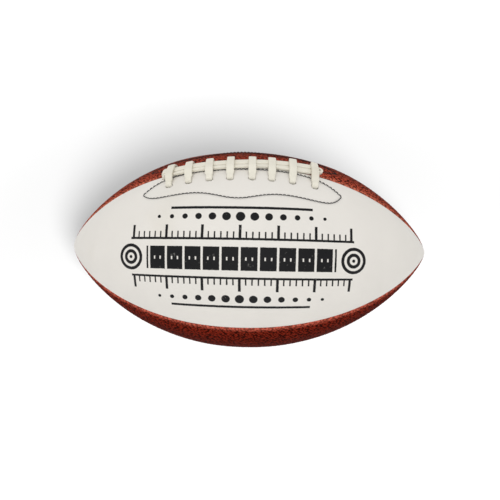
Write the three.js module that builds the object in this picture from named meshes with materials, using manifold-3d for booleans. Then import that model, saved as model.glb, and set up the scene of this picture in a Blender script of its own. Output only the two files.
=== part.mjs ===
// American football, lying on its side with the laces up. Millimetres, +Z up, +X along the ball.
// The origin is on the resting flat, under the middle of the ball. The front panel faces -Y and up.
import * as THREE from "three";
import Module from "manifold-3d";
import { mergeVertices } from "three/addons/utils/BufferGeometryUtils.js";

const wasm = await Module();
wasm.setup();
const { smoothstep } = THREE.MathUtils;

// Driving dimensions: the ball. Its radius at x is R (1 - |x / half length| ^ BELLY_POWER) ^ NOSE_POWER.
const LENGTH = 286;
const DIAMETER = 156;
const BELLY_POWER = 2.09;
const NOSE_POWER = 0.79;
const REST_FLAT_DEPTH = 0.8; // how far the ball settles into the flat that it rests on

// Driving dimensions: the layers of the wall
const COVER_THICKNESS = 1.8;
const LINING_THICKNESS = 1.2;
const FACING_THICKNESS = 1.4;
const TONGUE_THICKNESS = 1.4;
const BLADDER_WALL = 1.0;
const SEAM_ALLOWANCE = 5.2; // depth of the panel edge that is turned in at a seam
const SEAM_GROOVE = 1.3; // how far the cover dips at a seam
const SEAM_ROLL = 5; // width of cover that rolls down into the seam
const CLEARANCE = 0.3; // between pieces that lie on each other

// Driving dimensions: the lacing
const BAR_COUNT = 8;
const BAR_PITCH = 14.06;
const LACE_WIDTH = 5.2;
const LACE_THICKNESS = 1.8;
const LACE_BEND = 2.0; // radius of the lace's middle line where it turns through a slot
const SLOT_CORNER = 0.7; // how much of a slot's corners is cut off
const SLOT_MOUTH = 1.3; // how far a slot is open behind the lace
const SLOT_OFFSET = 13; // from the lace seam to the lace where it stands in a slot
const STRIP_OVERRUN = 7.8; // from the first bar to where the long strips go in
const LOOP_OVERRUN = 2.1; // from the last bar to where the strips start to turn into each other
const LOOP_WIDTH = 3.8; // of the lace where it is drawn together in that turn
const STRIP_GAP = 0.8; // between the two long strips
const STRIP_SHIFT = 1.0; // of the pair of strips, off the seam towards the back panel
const BAR_LIFT = 0.5; // between the strips and the bars that cross them
const TAIL_DEPTH = 6.3; // how deep the lace's two cut ends are tucked in

// Driving dimensions: the sewn facing round the slots, measured on the ball from the lace seam
const STITCH_HALF_LENGTH = 68;
const STITCH_TIP = 13.4; // where the outline comes to its tips
const STITCH_OUTER = 23.7; // the outline's far side
const STITCH_BULGE = 4.9; // and how much further it reaches at the middle
const STITCH_BULGE_WIDTH = 16;
const FAR_SQUARENESS = 12; // how late the far side turns in towards the tips
const NEAR_SQUARENESS = 9; // and the side beside the lace
const FACING_MARGIN = 2.5; // of the facing outside its stitching
const THREAD_DIAMETER = 0.9;
const TONGUE_HALF_WIDTH = 18;

// Driving dimensions: the valve
const VALVE_STEM_RADIUS = 4.3;
const VALVE_FLANGE_RADIUS = 8.5;
const VALVE_FLANGE_THICKNESS = 1.2;
const VALVE_LENGTH = 17;
const VALVE_BORE_RADIUS = 1.9;
const VALVE_HEAD_RADIUS = 3.2;
const VALVE_HEAD_THICKNESS = 1.6;
const NEEDLE_RADIUS = 0.6;

// Facets
const PANEL_STEPS = 8; // across a panel
const STATION_SPACING = 18; // along the ball's middle
const TIP_RADIUS = 1.5; // where the panels end, at the tips
const VALVE_SIDES = 12;
const THREAD_SIDES = 5;

// Worked out from the driving dimensions
const RADIUS = DIAMETER / 2;
const TIP_SHARE = (1 - (TIP_RADIUS / RADIUS) ** (1 / NOSE_POWER)) ** (1 / BELLY_POWER);
const HALF = LENGTH / 2 / TIP_SHARE; // the panels end just short of the outline's own end
const QUARTER = Math.PI / 2;
const ANGLE_STEP = QUARTER / PANEL_STEPS;
const PANEL_SHIFT = CLEARANCE / 2 / Math.sin(QUARTER / 2); // opens the seams by one clearance
const TIP_SLANT = 1.2; // a wall's length along X at a tip, for each unit of its thickness
const FACET_DIP = RADIUS * (1 - Math.cos(ANGLE_STEP / 2)) + STATION_SPACING ** 2 / (8 * HALF);
const LINING_OUTER = COVER_THICKNESS + CLEARANCE;
const LINING_INNER = LINING_OUTER + LINING_THICKNESS;
const FACING_OUTER = LINING_INNER + FACET_DIP + CLEARANCE;
const FACING_INNER = FACING_OUTER + FACING_THICKNESS;
const LACE_OUT = CLEARANCE + LACE_THICKNESS / 2; // height of the lace's middle line on the cover
const LACE_OVER = LACE_OUT + LACE_THICKNESS + BAR_LIFT; // and where a bar crosses the strips
const LACE_UNDER = Math.max(FACING_INNER, SEAM_ALLOWANCE) + CLEARANCE * 2 + LACE_THICKNESS / 2;
const TONGUE_OUTER = LACE_UNDER + LACE_THICKNESS / 2 + CLEARANCE * 2;
const TONGUE_INNER = TONGUE_OUTER + TONGUE_THICKNESS;
const VALVE_FLANGE_OUTER = LINING_INNER + FACET_DIP + CLEARANCE;
const BLADDER_OUTER = Math.max(
  SEAM_ALLOWANCE + FACET_DIP + CLEARANCE,
  VALVE_FLANGE_OUTER + VALVE_FLANGE_THICKNESS + CLEARANCE,
);
const FIRST_BAR = (-(BAR_COUNT - 1) / 2) * BAR_PITCH;
const STRIP_END = -FIRST_BAR + STRIP_OVERRUN; // middle of the lace where a strip stands in the end slot
const LOOP_START = -FIRST_BAR + LOOP_OVERRUN;
const STRIP_SPACING = LACE_WIDTH + STRIP_GAP;
const FRONT_STRIP = STRIP_SPACING / 2 - STRIP_SHIFT;
const BACK_STRIP = -STRIP_SPACING / 2 - STRIP_SHIFT;
const STRIPS_REACH = STRIP_SPACING / 2 + LACE_WIDTH / 2 + Math.abs(STRIP_SHIFT);
const SLIT_HALF_LENGTH = STRIP_END + LACE_BEND * 2;

// The ball's radius at a place along it, for a layer that lies a depth below the outside.
function radiusAt(x, depth = 0) {
  const share = Math.min(Math.abs(x) / (HALF - TIP_SLANT * depth), 1);
  return (RADIUS - depth) * (1 - share ** BELLY_POWER) ** NOSE_POWER;
}

// How fast the radius grows along x.
function slopeAt(x) {
  const share = Math.abs(x) / HALF;
  const belly = BELLY_POWER * share ** (BELLY_POWER - 1);
  const nose = NOSE_POWER * (1 - share ** BELLY_POWER) ** (NOSE_POWER - 1);
  return (-Math.sign(x) * RADIUS * belly * nose) / HALF;
}

// The directions on the ball at a place: x along it, v round it from a seam, and h straight out of it.
function ballAxes(x, v, seam) {
  const angle = seam + v / radiusAt(x);
  const radial = new THREE.Vector3(0, -Math.sin(angle), Math.cos(angle));
  const slope = slopeAt(x);
  return {
    x: new THREE.Vector3(1, 0, 0).addScaledVector(radial, slope).normalize(),
    v: new THREE.Vector3(0, -Math.cos(angle), -Math.sin(angle)),
    h: new THREE.Vector3(-slope, 0, 0).add(radial).normalize(),
  };
}

// The point there, at a height h.
function onBall(x, v, h, seam) {
  return aroundAxis(x, radiusAt(x), seam + v / radiusAt(x)).addScaledVector(ballAxes(x, v, seam).h, h);
}

// Stations along the ball as shares of its half length: even along the middle, closer towards the tips.
function stations(lastRadius) {
  const tip = (1 - (lastRadius / RADIUS) ** (1 / NOSE_POWER)) ** (1 / BELLY_POWER);
  const steps = Math.round((1.27 * HALF) / STATION_SPACING);
  const shares = [];
  for (let i = -steps; i <= steps; i++) {
    const t = i / steps;
    shares.push(tip * (1.27 * t - 0.27 * t ** 3));
  }
  return shares;
}

function geometryOf(points, triangles) {
  const geometry = new THREE.BufferGeometry().setFromPoints(points);
  geometry.setIndex(triangles);
  return geometry;
}

// A closed wall between two grids of points, outer and inner, each a list of rows alike in length.
function wallBetween(outer, inner) {
  const rows = outer.length;
  const columns = outer[0].length;
  const points = [...outer.flat(), ...inner.flat()];
  const at = (side, i, k) => (side * rows + i) * columns + k;
  const triangles = [];
  const quad = (a, b, c, d) => triangles.push(a, c, b, a, d, c);
  for (let i = 0; i + 1 < rows; i++) {
    for (let k = 0; k + 1 < columns; k++) {
      quad(at(0, i, k), at(0, i + 1, k), at(0, i + 1, k + 1), at(0, i, k + 1));
      quad(at(1, i, k), at(1, i, k + 1), at(1, i + 1, k + 1), at(1, i + 1, k));
    }
    quad(at(0, i, 0), at(1, i, 0), at(1, i + 1, 0), at(0, i + 1, 0));
    const last = columns - 1;
    quad(at(0, i, last), at(0, i + 1, last), at(1, i + 1, last), at(1, i, last));
  }
  for (let k = 0; k + 1 < columns; k++) {
    const end = rows - 1;
    quad(at(0, 0, k), at(0, 0, k + 1), at(1, 0, k + 1), at(1, 0, k));
    quad(at(0, end, k), at(1, end, k), at(1, end, k + 1), at(0, end, k + 1));
  }
  return geometryOf(points, triangles);
}

// A solid through rings of points, capped at both ends, or joined end to end if it is a closed loop.
function sweep(rings, isLoop) {
  const sides = rings[0].length;
  const points = rings.flat();
  const triangles = [];
  const spans = isLoop ? rings.length : rings.length - 1;
  for (let i = 0; i < spans; i++) {
    const next = (i + 1) % rings.length;
    for (let k = 0; k < sides; k++) {
      const m = (k + 1) % sides;
      const [a, b, c, d] = [i * sides + k, i * sides + m, next * sides + m, next * sides + k];
      triangles.push(a, b, c, a, c, d);
    }
  }
  if (!isLoop) {
    const end = (rings.length - 1) * sides;
    for (let k = 1; k + 1 < sides; k++) {
      triangles.push(0, k + 1, k, end, end + k, end + k + 1);
    }
  }
  return geometryOf(points, triangles);
}

// The bare surface of a geometry, with shared corners.
function bareOf(geometry) {
  const bare = geometry.clone();
  bare.deleteAttribute("normal");
  bare.deleteAttribute("uv");
  return mergeVertices(bare, 1e-4);
}

function solidOf(geometry) {
  const merged = bareOf(geometry);
  return new wasm.Manifold(
    new wasm.Mesh({
      numProp: 3,
      vertProperties: new Float32Array(merged.attributes.position.array),
      triVerts: new Uint32Array(merged.index.array),
    }),
  );
}

function geometryFrom(solid) {
  const mesh = solid.getMesh();
  const geometry = new THREE.BufferGeometry();
  geometry.setAttribute("position", new THREE.BufferAttribute(mesh.vertProperties, 3));
  geometry.setIndex(new THREE.BufferAttribute(mesh.triVerts, 1));
  return geometry;
}

function cut(geometry, cutters) {
  return geometryFrom(cutters.reduce((solid, cutter) => solid.subtract(solidOf(cutter)), solidOf(geometry)));
}

// Carries a geometry whose x, y and z mean x, -v and h onto the ball.
function bendOnto(geometry, x, v, seam) {
  const bent = bareOf(geometry);
  const position = bent.attributes.position;
  for (let i = 0; i < position.count; i++) {
    const p = onBall(x + position.getX(i), v - position.getY(i), position.getZ(i), seam);
    position.setXYZ(i, p.x, p.y, p.z);
  }
  return bent;
}

// Cutters

// A slot with eased corners, cut through the whole wall.
function slotCutter(x, v, lengthX, lengthV, seam) {
  const [halfX, halfV] = [lengthX / 2, lengthV / 2];
  const [nearX, nearV] = [halfX - SLOT_CORNER, halfV - SLOT_CORNER];
  const corner = [[halfX, nearV], [nearX, halfV], [-nearX, halfV], [-halfX, nearV]];
  const outline = [...corner, ...corner.map(([a, b]) => [-a, -b])];
  const shape = new THREE.Shape(outline.map(([a, b]) => new THREE.Vector2(a, b)));
  const above = SEAM_GROOVE + CLEARANCE;
  const below = LACE_UNDER;
  const prism = new THREE.ExtrudeGeometry(shape, { depth: above + below, bevelEnabled: false, steps: 1 });
  return bendOnto(prism.translate(0, 0, -below), x, v, seam);
}

const SLOT_ROOM = CLEARANCE + 0.15;
const SLOT_BREADTH = LACE_THICKNESS / 2 + LACE_BEND + SLOT_MOUTH; // from the bend's centre to beyond the lace
const SLOT_SHIFT = LACE_THICKNESS / 2 + SLOT_MOUTH - SLOT_BREADTH / 2; // of its centre from the lace in it

// The slots of the bars on one side of the lace seam, +1 for the front, and the end slot of both strips.
function laceSlots(side) {
  const slots = [];
  for (let k = 0; k < BAR_COUNT; k++) {
    const x = FIRST_BAR + k * BAR_PITCH;
    slots.push(slotCutter(x, side * (SLOT_OFFSET + SLOT_SHIFT), LACE_WIDTH + 2 * SLOT_ROOM, SLOT_BREADTH, 0));
  }
  const bothStrips = STRIP_SPACING + LACE_WIDTH + 2 * SLOT_ROOM;
  slots.push(slotCutter(-STRIP_END - SLOT_SHIFT, -STRIP_SHIFT, SLOT_BREADTH, bothStrips, 0));
  return slots;
}

function valveHole() {
  const radius = (VALVE_STEM_RADIUS + CLEARANCE) / Math.cos(Math.PI / VALVE_SIDES);
  const hole = new THREE.CylinderGeometry(radius, radius, 4 * BLADDER_OUTER, VALVE_SIDES);
  return bendOnto(hole.rotateX(QUARTER), 0, 0, VALVE_ANGLE);
}

// Everything below the plane that the ball rests on.
function groundCutter() {
  const depth = RADIUS;
  return new THREE.BoxGeometry(LENGTH, DIAMETER, depth).translate(0, 0, REST_FLAT_DEPTH - RADIUS - depth / 2);
}

// Cover panels and linings

// The two radial directions at a panel's seams, and the direction that leads from each seam into the panel.
function seamAxes(seam) {
  return {
    out: new THREE.Vector3(0, -Math.sin(seam), Math.cos(seam)),
    along: new THREE.Vector3(0, -Math.cos(seam), -Math.sin(seam)),
  };
}

// A point x along the ball, a distance out from its axis at a seam, and a distance from the seam's plane.
function besideSeam(x, out, across, seam, inward) {
  const axes = seamAxes(seam);
  return new THREE.Vector3(x, 0, 0)
    .addScaledVector(axes.out, out)
    .addScaledVector(axes.along, across * inward);
}

function aroundAxis(x, radius, angle) {
  return new THREE.Vector3(x, -radius * Math.sin(angle), radius * Math.cos(angle));
}

// One quarter of the cover: its outside rolls down into the seams, and its edges are turned in as allowances.
function coverPanel(firstSeam) {
  const lastSeam = firstSeam + QUARTER;
  const outer = [];
  const inner = [];
  const innerHalf = HALF - TIP_SLANT * COVER_THICKNESS;
  for (const share of stations(TIP_RADIUS)) {
    const x = share * HALF;
    const xInner = share * innerHalf;
    const r = radiusAt(x) - PANEL_SHIFT * (radiusAt(x) / RADIUS);
    const rInner = radiusAt(xInner, COVER_THICKNESS);
    const groove = Math.min(SEAM_GROOVE, 0.06 * r);
    const roll = Math.min(SEAM_ROLL / r, 0.7 * ANGLE_STEP);
    const edge = Math.min(COVER_THICKNESS, 0.12 * r);
    const turned = r - Math.min(SEAM_ALLOWANCE, 0.45 * r);
    const outside = [];
    const inside = [];
    for (const [angle, dip] of [[0, 1], [0.4 * roll, 0.36], [roll, 0]]) {
      outside.push([firstSeam + angle, r - dip * groove]);
    }
    for (let k = 1; k < PANEL_STEPS; k++) outside.push([firstSeam + k * ANGLE_STEP, r]);
    for (const [angle, dip] of [[roll, 0], [0.4 * roll, 0.36], [0, 1]]) {
      outside.push([lastSeam - angle, r - dip * groove]);
    }
    outer.push(outside.map(([angle, radius]) => aroundAxis(x, radius, angle)));
    const onInner = Math.sqrt(rInner ** 2 - edge ** 2);
    inside.push(besideSeam(xInner, turned, 0, firstSeam, 1));
    inside.push(besideSeam(xInner, turned, edge, firstSeam, 1));
    inside.push(besideSeam(xInner, onInner, edge, firstSeam, 1));
    for (let k = 1; k < PANEL_STEPS; k++) inside.push(aroundAxis(xInner, rInner, firstSeam + k * ANGLE_STEP));
    inside.push(besideSeam(xInner, onInner, edge, lastSeam, -1));
    inside.push(besideSeam(xInner, turned, edge, lastSeam, -1));
    inside.push(besideSeam(xInner, turned, 0, lastSeam, -1));
    inner.push(inside);
  }
  return wallBetween(outer, inner).translate(...panelShift(firstSeam));
}

function panelShift(firstSeam) {
  const middle = firstSeam + QUARTER / 2;
  return [0, -PANEL_SHIFT * Math.sin(middle), PANEL_SHIFT * Math.cos(middle)];
}

// The cloth that backs a panel, between its turned-in edges.
function panelLining(firstSeam) {
  const lastSeam = firstSeam + QUARTER;
  const fromSeam = COVER_THICKNESS + CLEARANCE;
  const endRadius = (fromSeam / Math.sin(ANGLE_STEP)) * 1.4; // where the turned-in edges leave no room for it
  const shares = stations(TIP_RADIUS).filter((share) => radiusAt(share * HALF) > endRadius);
  const layers = [LINING_OUTER, LINING_INNER].map((depth) =>
    shares.map((share) => {
      const x = share * (HALF - TIP_SLANT * depth);
      const r = radiusAt(x, depth);
      const out = Math.sqrt(r ** 2 - fromSeam ** 2);
      const row = [besideSeam(x, out, fromSeam, firstSeam, 1)];
      for (let k = 1; k < PANEL_STEPS; k++) row.push(aroundAxis(x, r, firstSeam + k * ANGLE_STEP));
      row.push(besideSeam(x, out, fromSeam, lastSeam, -1));
      return row;
    }),
  );
  return wallBetween(...layers).translate(...panelShift(firstSeam));
}

// Lace facings, their stitching and the tongue

// How full an outline is at x: 1 along its middle, falling to 0 at its pointed tips.
function fullness(x, halfLength, squareness) {
  return Math.max(1 - (Math.abs(x) / halfLength) ** squareness, 0);
}

function outlineOuter(x) {
  return STITCH_OUTER + STITCH_BULGE * Math.exp(-((x / STITCH_BULGE_WIDTH) ** 2));
}

// One of the two patches, sewn inside the lining, that keep the lace from tearing out of the cover.
function laceFacing(side) {
  const halfLength = STITCH_HALF_LENGTH + FACING_MARGIN;
  const nearSeam = COVER_THICKNESS + 2 * CLEARANCE + 0.4;
  const [rows, columns] = [16, 4];
  const layers = [FACING_OUTER, FACING_INNER].map((depth) => {
    const grid = [];
    for (let i = 0; i <= rows; i++) {
      const x = halfLength * 0.995 * Math.sin((i / rows - 0.5) * Math.PI);
      const near = STITCH_TIP + (nearSeam - STITCH_TIP) * fullness(x, halfLength, NEAR_SQUARENESS);
      const reach = outlineOuter(x) + FACING_MARGIN - STITCH_TIP;
      const far = STITCH_TIP + reach * fullness(x, halfLength, FAR_SQUARENESS);
      const row = [];
      for (let k = 0; k <= columns; k++) {
        const v = near + ((far - near) * k) / columns;
        row.push(onBall(x, side * v, -depth, 0));
      }
      grid.push(side > 0 ? row : row.reverse());
    }
    return grid;
  });
  return wallBetween(...layers);
}

// The thread that shows on the cover round a facing: out past the slots, and back beside the strips.
function facingStitch(side) {
  const beside = STRIP_SPACING / 2 + LACE_WIDTH / 2 - side * STRIP_SHIFT;
  const near = beside + CLEARANCE + THREAD_DIAMETER;
  const height = CLEARANCE + THREAD_DIAMETER / 2;
  const count = 60;
  const path = [];
  for (let i = 0; i < count; i++) {
    const turn = (2 * Math.PI * i) / count;
    const x = STITCH_HALF_LENGTH * Math.sign(Math.cos(turn)) * Math.abs(Math.cos(turn)) ** 0.6;
    const isFar = Math.sin(turn) >= 0;
    const reach = (isFar ? outlineOuter(x) : near) - STITCH_TIP;
    const full = fullness(x, STITCH_HALF_LENGTH, isFar ? FAR_SQUARENESS : NEAR_SQUARENESS);
    path.push([x, side * (STITCH_TIP + reach * full)]);
  }
  const points = path.map(([x, v]) => onBall(x, v, height, 0));
  const outward = path.map(([x, v]) => ballAxes(x, v, 0).h);
  return threadAlong(points, outward, true);
}

// A round thread through points, each with a direction that isn't along it.
function threadAlong(points, outward, isLoop) {
  const count = points.length;
  const rings = points.map((point, i) => {
    const before = isLoop ? points[(i + count - 1) % count] : points[Math.max(i - 1, 0)];
    const after = isLoop ? points[(i + 1) % count] : points[Math.min(i + 1, count - 1)];
    const ahead = after.clone().sub(before).normalize();
    const aside = new THREE.Vector3().crossVectors(ahead, outward[i]).normalize();
    const up = new THREE.Vector3().crossVectors(aside, ahead);
    return Array.from({ length: THREAD_SIDES }, (_, k) => {
      const angle = (2 * Math.PI * k) / THREAD_SIDES;
      return point
        .clone()
        .addScaledVector(aside, (THREAD_DIAMETER / 2) * Math.cos(angle))
        .addScaledVector(up, (THREAD_DIAMETER / 2) * Math.sin(angle));
    });
  });
  return sweep(rings.map((ring) => ring.reverse()), isLoop);
}

// The flap under the slit that keeps the lace off the bladder.
function laceTongue() {
  const [rows, columns] = [12, 4];
  const layers = [TONGUE_OUTER, TONGUE_INNER].map((depth) => {
    const grid = [];
    for (let i = 0; i <= rows; i++) {
      const x = SLIT_HALF_LENGTH * 0.99 * Math.sin((i / rows - 0.5) * Math.PI);
      const half = TONGUE_HALF_WIDTH * fullness(x, SLIT_HALF_LENGTH, FAR_SQUARENESS);
      const row = [];
      for (let k = 0; k <= columns; k++) row.push(onBall(x, half * ((2 * k) / columns - 1), -depth, 0));
      grid.push(row);
    }
    return grid;
  });
  return wallBetween(...layers);
}

// A length of seam thread, lying in the corner between a turned-in edge and the lining.
function seamThread(seam, fromX, toX) {
  const depth = LINING_INNER + CLEARANCE + 0.2 + THREAD_DIAMETER / 2;
  const across = COVER_THICKNESS + CLEARANCE * 1.5 + THREAD_DIAMETER / 2;
  const steps = 14;
  const points = [];
  for (let i = 0; i <= steps; i++) {
    const x = fromX + ((toX - fromX) * i) / steps;
    points.push(besideSeam(x, radiusAt(x, depth), across, seam, 1));
  }
  return threadAlong(points, points.map(() => seamAxes(seam).out), false);
}

// Bladder and valve

const VALVE_ANGLE = 2.5 * QUARTER; // the middle of the rear panel

// A closed skin a depth below the ball's outside, pressed in under the tongue.
function bladderSkin(depth, pressed) {
  const shares = stations(TIP_RADIUS * 4);
  const around = 18;
  const rings = shares.map((share) => {
    const x = share * (HALF - TIP_SLANT * depth);
    return Array.from({ length: around }, (_, k) => {
      const angle = (2 * Math.PI * k) / around;
      const offSeam = Math.abs(Math.atan2(Math.sin(angle), Math.cos(angle))) * radiusAt(x);
      const along = smoothstep(1.5 - Math.abs(x) / SLIT_HALF_LENGTH, 0, 0.45);
      const across = smoothstep(2.4 - offSeam / TONGUE_HALF_WIDTH, 0, 1.1);
      return aroundAxis(x, radiusAt(x, depth) - pressed * along * across, angle);
    });
  });
  return sweep(rings, false);
}

function bladder() {
  const pressed = TONGUE_INNER + FACET_DIP + CLEARANCE - BLADDER_OUTER;
  const skin = solidOf(bladderSkin(BLADDER_OUTER, pressed));
  const air = solidOf(bladderSkin(BLADDER_OUTER + BLADDER_WALL, pressed));
  return geometryFrom(skin.subtract(air).subtract(solidOf(valveHole())));
}

// A turned piece on the valve's axis, from a closed outline of [radius, height] points.
function turnedOnValve(outline) {
  const points = [...outline, outline[0]].map(([r, h]) => new THREE.Vector2(r, h));
  const lathe = new THREE.LatheGeometry(points, VALVE_SIDES);
  return bendOnto(lathe.rotateX(QUARTER), 0, 0, VALVE_ANGLE);
}

function valveBody() {
  const top = -CLEARANCE;
  const flangeTop = -VALVE_FLANGE_OUTER;
  const flangeFoot = flangeTop - VALVE_FLANGE_THICKNESS;
  return turnedOnValve([
    [VALVE_BORE_RADIUS, top],
    [VALVE_BORE_RADIUS, -VALVE_LENGTH],
    [VALVE_STEM_RADIUS * 0.8, -VALVE_LENGTH],
    [VALVE_STEM_RADIUS, flangeFoot],
    [VALVE_FLANGE_RADIUS, flangeFoot],
    [VALVE_FLANGE_RADIUS, flangeTop],
    [VALVE_STEM_RADIUS, flangeTop],
    [VALVE_STEM_RADIUS, top],
  ]);
}

// The plug that seals round the pump's needle and shuts when it is drawn out.
function valveCore() {
  const radius = VALVE_BORE_RADIUS - CLEARANCE;
  const top = -2 * CLEARANCE;
  const headTop = -VALVE_LENGTH - CLEARANCE;
  const foot = headTop - VALVE_HEAD_THICKNESS;
  return turnedOnValve([
    [NEEDLE_RADIUS, top],
    [NEEDLE_RADIUS, foot],
    [VALVE_HEAD_RADIUS, foot],
    [VALVE_HEAD_RADIUS, headTop],
    [radius, headTop],
    [radius, top],
  ]);
}

// Lace

// Draws the lace's middle line on the ball: x along it, v round it from the lace seam, h out from it.
// t is the way ahead, and n, square to it, is the way that the lace's flat side faces.
class LacePen {
  constructor(start, ahead, facing) {
    this.p = new THREE.Vector3(...start);
    this.t = new THREE.Vector3(...ahead);
    this.n = new THREE.Vector3(...facing);
    this.width = LACE_WIDTH;
    this.path = [];
    this.mark();
  }

  mark() {
    this.path.push({ p: this.p.clone(), n: this.n.clone(), width: this.width });
  }

  go(distance, steps = 1) {
    for (let i = 0; i < steps; i++) {
      this.p.addScaledVector(this.t, distance / steps);
      this.mark();
    }
  }

  // A quarter turn towards a direction: over the flat side if that is where n or -n points, or else on edge.
  turn(towards, radius, steps = 3) {
    const side = new THREE.Vector3(...towards);
    const [from, t, n] = [this.p.clone(), this.t.clone(), this.n.clone()];
    const overFlat = n.dot(side);
    for (let i = 1; i <= steps; i++) {
      const angle = (QUARTER * i) / steps;
      this.p
        .copy(from)
        .addScaledVector(t, radius * Math.sin(angle))
        .addScaledVector(side, radius * (1 - Math.cos(angle)));
      this.t.copy(t).multiplyScalar(Math.cos(angle)).addScaledVector(side, Math.sin(angle));
      if (overFlat) {
        this.n.copy(n).multiplyScalar(Math.cos(angle)).addScaledVector(t, -overFlat * Math.sin(angle));
      }
      this.mark();
    }
  }

  // A half turn on edge towards a direction, drawn together to a width.
  loop(towards, radius, width, steps = 8) {
    const side = new THREE.Vector3(...towards);
    const [from, t, full] = [this.p.clone(), this.t.clone(), this.width];
    for (let i = 1; i <= steps; i++) {
      const angle = (Math.PI * i) / steps;
      this.p
        .copy(from)
        .addScaledVector(t, radius * Math.sin(angle))
        .addScaledVector(side, radius * (1 - Math.cos(angle)));
      this.width = full + (width - full) * Math.sin(angle);
      this.mark();
    }
    this.t.negate();
    this.width = full;
  }

  // A run across to v, with x and h given by functions of the share of the run that is done.
  cross(toV, steps, xAt, hAt) {
    const fromV = this.p.y;
    for (let i = 1; i <= steps; i++) {
      const share = i / steps;
      this.p.set(xAt(share), fromV + (toV - fromV) * share, hAt(share));
      this.mark();
    }
  }
}

function lacePath() {
  const [ahead, back] = [[1, 0, 0], [-1, 0, 0]];
  const [toFront, toBack] = [[0, 1, 0], [0, -1, 0]];
  const [outward, inward] = [[0, 0, 1], [0, 0, -1]];
  const rise = LACE_OUT + LACE_UNDER - 2 * LACE_BEND;
  const slotInner = SLOT_OFFSET - LACE_BEND;
  const stripRun = STRIP_END - LACE_BEND + LOOP_START;
  const edgeTurn = Math.min(STRIP_OVERRUN - LACE_BEND, slotInner - FRONT_STRIP);
  const flatTo = STRIPS_REACH + BAR_LIFT;
  const pen = new LacePen([-STRIP_END, BACK_STRIP, -TAIL_DEPTH], outward, ahead);

  // One cut end comes up through the end slot. The lace runs along the back of the seam, turns on edge at the
  // right, runs back along the front of the seam and goes in through the same slot.
  pen.go(TAIL_DEPTH + LACE_OUT - LACE_BEND);
  pen.turn(ahead, LACE_BEND);
  pen.go(stripRun, 9);
  pen.loop(toFront, STRIP_SPACING / 2, LOOP_WIDTH);
  pen.go(stripRun, 9);
  pen.turn(inward, LACE_BEND);
  pen.go(rise);
  pen.turn(ahead, LACE_BEND);
  pen.go(STRIP_OVERRUN - LACE_BEND - edgeTurn + 1e-3);
  pen.turn(toFront, edgeTurn);
  pen.go(slotInner - FRONT_STRIP - edgeTurn + 1e-3);

  // It spirals along the slit: up at the front, over the strips as a bar, down at the back, across inside.
  for (let k = 0; k < BAR_COUNT; k++) {
    const x = FIRST_BAR + k * BAR_PITCH;
    pen.turn(outward, LACE_BEND);
    pen.go(rise);
    pen.turn(toBack, LACE_BEND);
    const overStrips = (share) => {
      const v = Math.abs(slotInner * (1 - 2 * share));
      return LACE_OUT + (LACE_OVER - LACE_OUT) * (1 - smoothstep(v, flatTo, slotInner));
    };
    pen.cross(-slotInner, 11, () => x, overStrips);
    pen.t.set(...toBack);
    pen.turn(inward, LACE_BEND);
    pen.go(rise);
    pen.turn(toFront, LACE_BEND);
    if (k + 1 < BAR_COUNT) {
      const step = (share) => x + BAR_PITCH * smoothstep(share, 0, 1);
      pen.cross(slotInner, 5, step, () => -LACE_UNDER);
      pen.t.set(...toFront);
    }
  }

  // Its other cut end lies inside, across the slit.
  pen.go(slotInner, 2);
  return pen.path;
}

// The lace's flat section, with its edges eased.
function laceSection(width) {
  const [half, thick] = [width / 2, LACE_THICKNESS / 2];
  const eased = half - 0.5 * thick;
  const oneSide = [[half, 0], [eased, thick], [-eased, thick]];
  return [...oneSide, ...oneSide.map(([w, t]) => [-w, -t])];
}

function lace() {
  const path = lacePath();
  const points = path.map(({ p }) => onBall(p.x, p.y, p.z, 0));
  const rings = path.map(({ p, n, width }, i) => {
    const axes = ballAxes(p.x, p.y, 0);
    const facing = new THREE.Vector3()
      .addScaledVector(axes.x, n.x)
      .addScaledVector(axes.v, n.y)
      .addScaledVector(axes.h, n.z);
    const before = points[Math.max(i - 1, 0)];
    const after = points[Math.min(i + 1, points.length - 1)];
    const along = after.clone().sub(before).normalize();
    const wide = new THREE.Vector3().crossVectors(facing, along).normalize();
    const thick = new THREE.Vector3().crossVectors(along, wide);
    const place = ([w, t]) => points[i].clone().addScaledVector(wide, w).addScaledVector(thick, t);
    return laceSection(width).map(place);
  });
  let length = 0;
  for (let i = 1; i < points.length; i++) length += points[i].distanceTo(points[i - 1]);
  console.log(`lace: ${length.toFixed(0)} mm long, least gap to itself ${leastGap(rings).toFixed(2)} mm`);
  return sweep(rings, false);
}

// The least distance between corners of the lace that are more than a bar's height apart along it.
function leastGap(rings) {
  const apart = 12;
  let least = Infinity;
  for (let i = 0; i < rings.length; i++) {
    for (let j = i + apart; j < rings.length; j++) {
      for (const a of rings[i]) for (const b of rings[j]) least = Math.min(least, a.distanceTo(b));
    }
  }
  return least;
}

// Materials

const finish = (color, roughness) => new THREE.MeshStandardMaterial({ color, roughness, metalness: 0 });
const MATERIALS = {
  white_cover: finish(0xe4dfd6, 0.45),
  brown_cover: finish(0x7d3325, 0.55),
  lace: finish(0xece6d6, 0.5),
  black_thread: finish(0x2c2a2c, 0.8),
  seam_thread: finish(0xd9d4c8, 0.8),
  lining: finish(0xcfc8b8, 0.9),
  facing: finish(0xbfb6a4, 0.85),
  bladder: finish(0x1d1d1f, 0.6),
  valve: finish(0x2b2b2d, 0.5),
};

// Assembly

const football = new THREE.Group();
football.name = "football";
const ball = new THREE.Group();
ball.position.z = RADIUS - REST_FLAT_DEPTH;
football.add(ball);

function add(name, geometry, material) {
  const mesh = new THREE.Mesh(geometry, MATERIALS[material]);
  mesh.name = name;
  ball.add(mesh);
}

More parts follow.
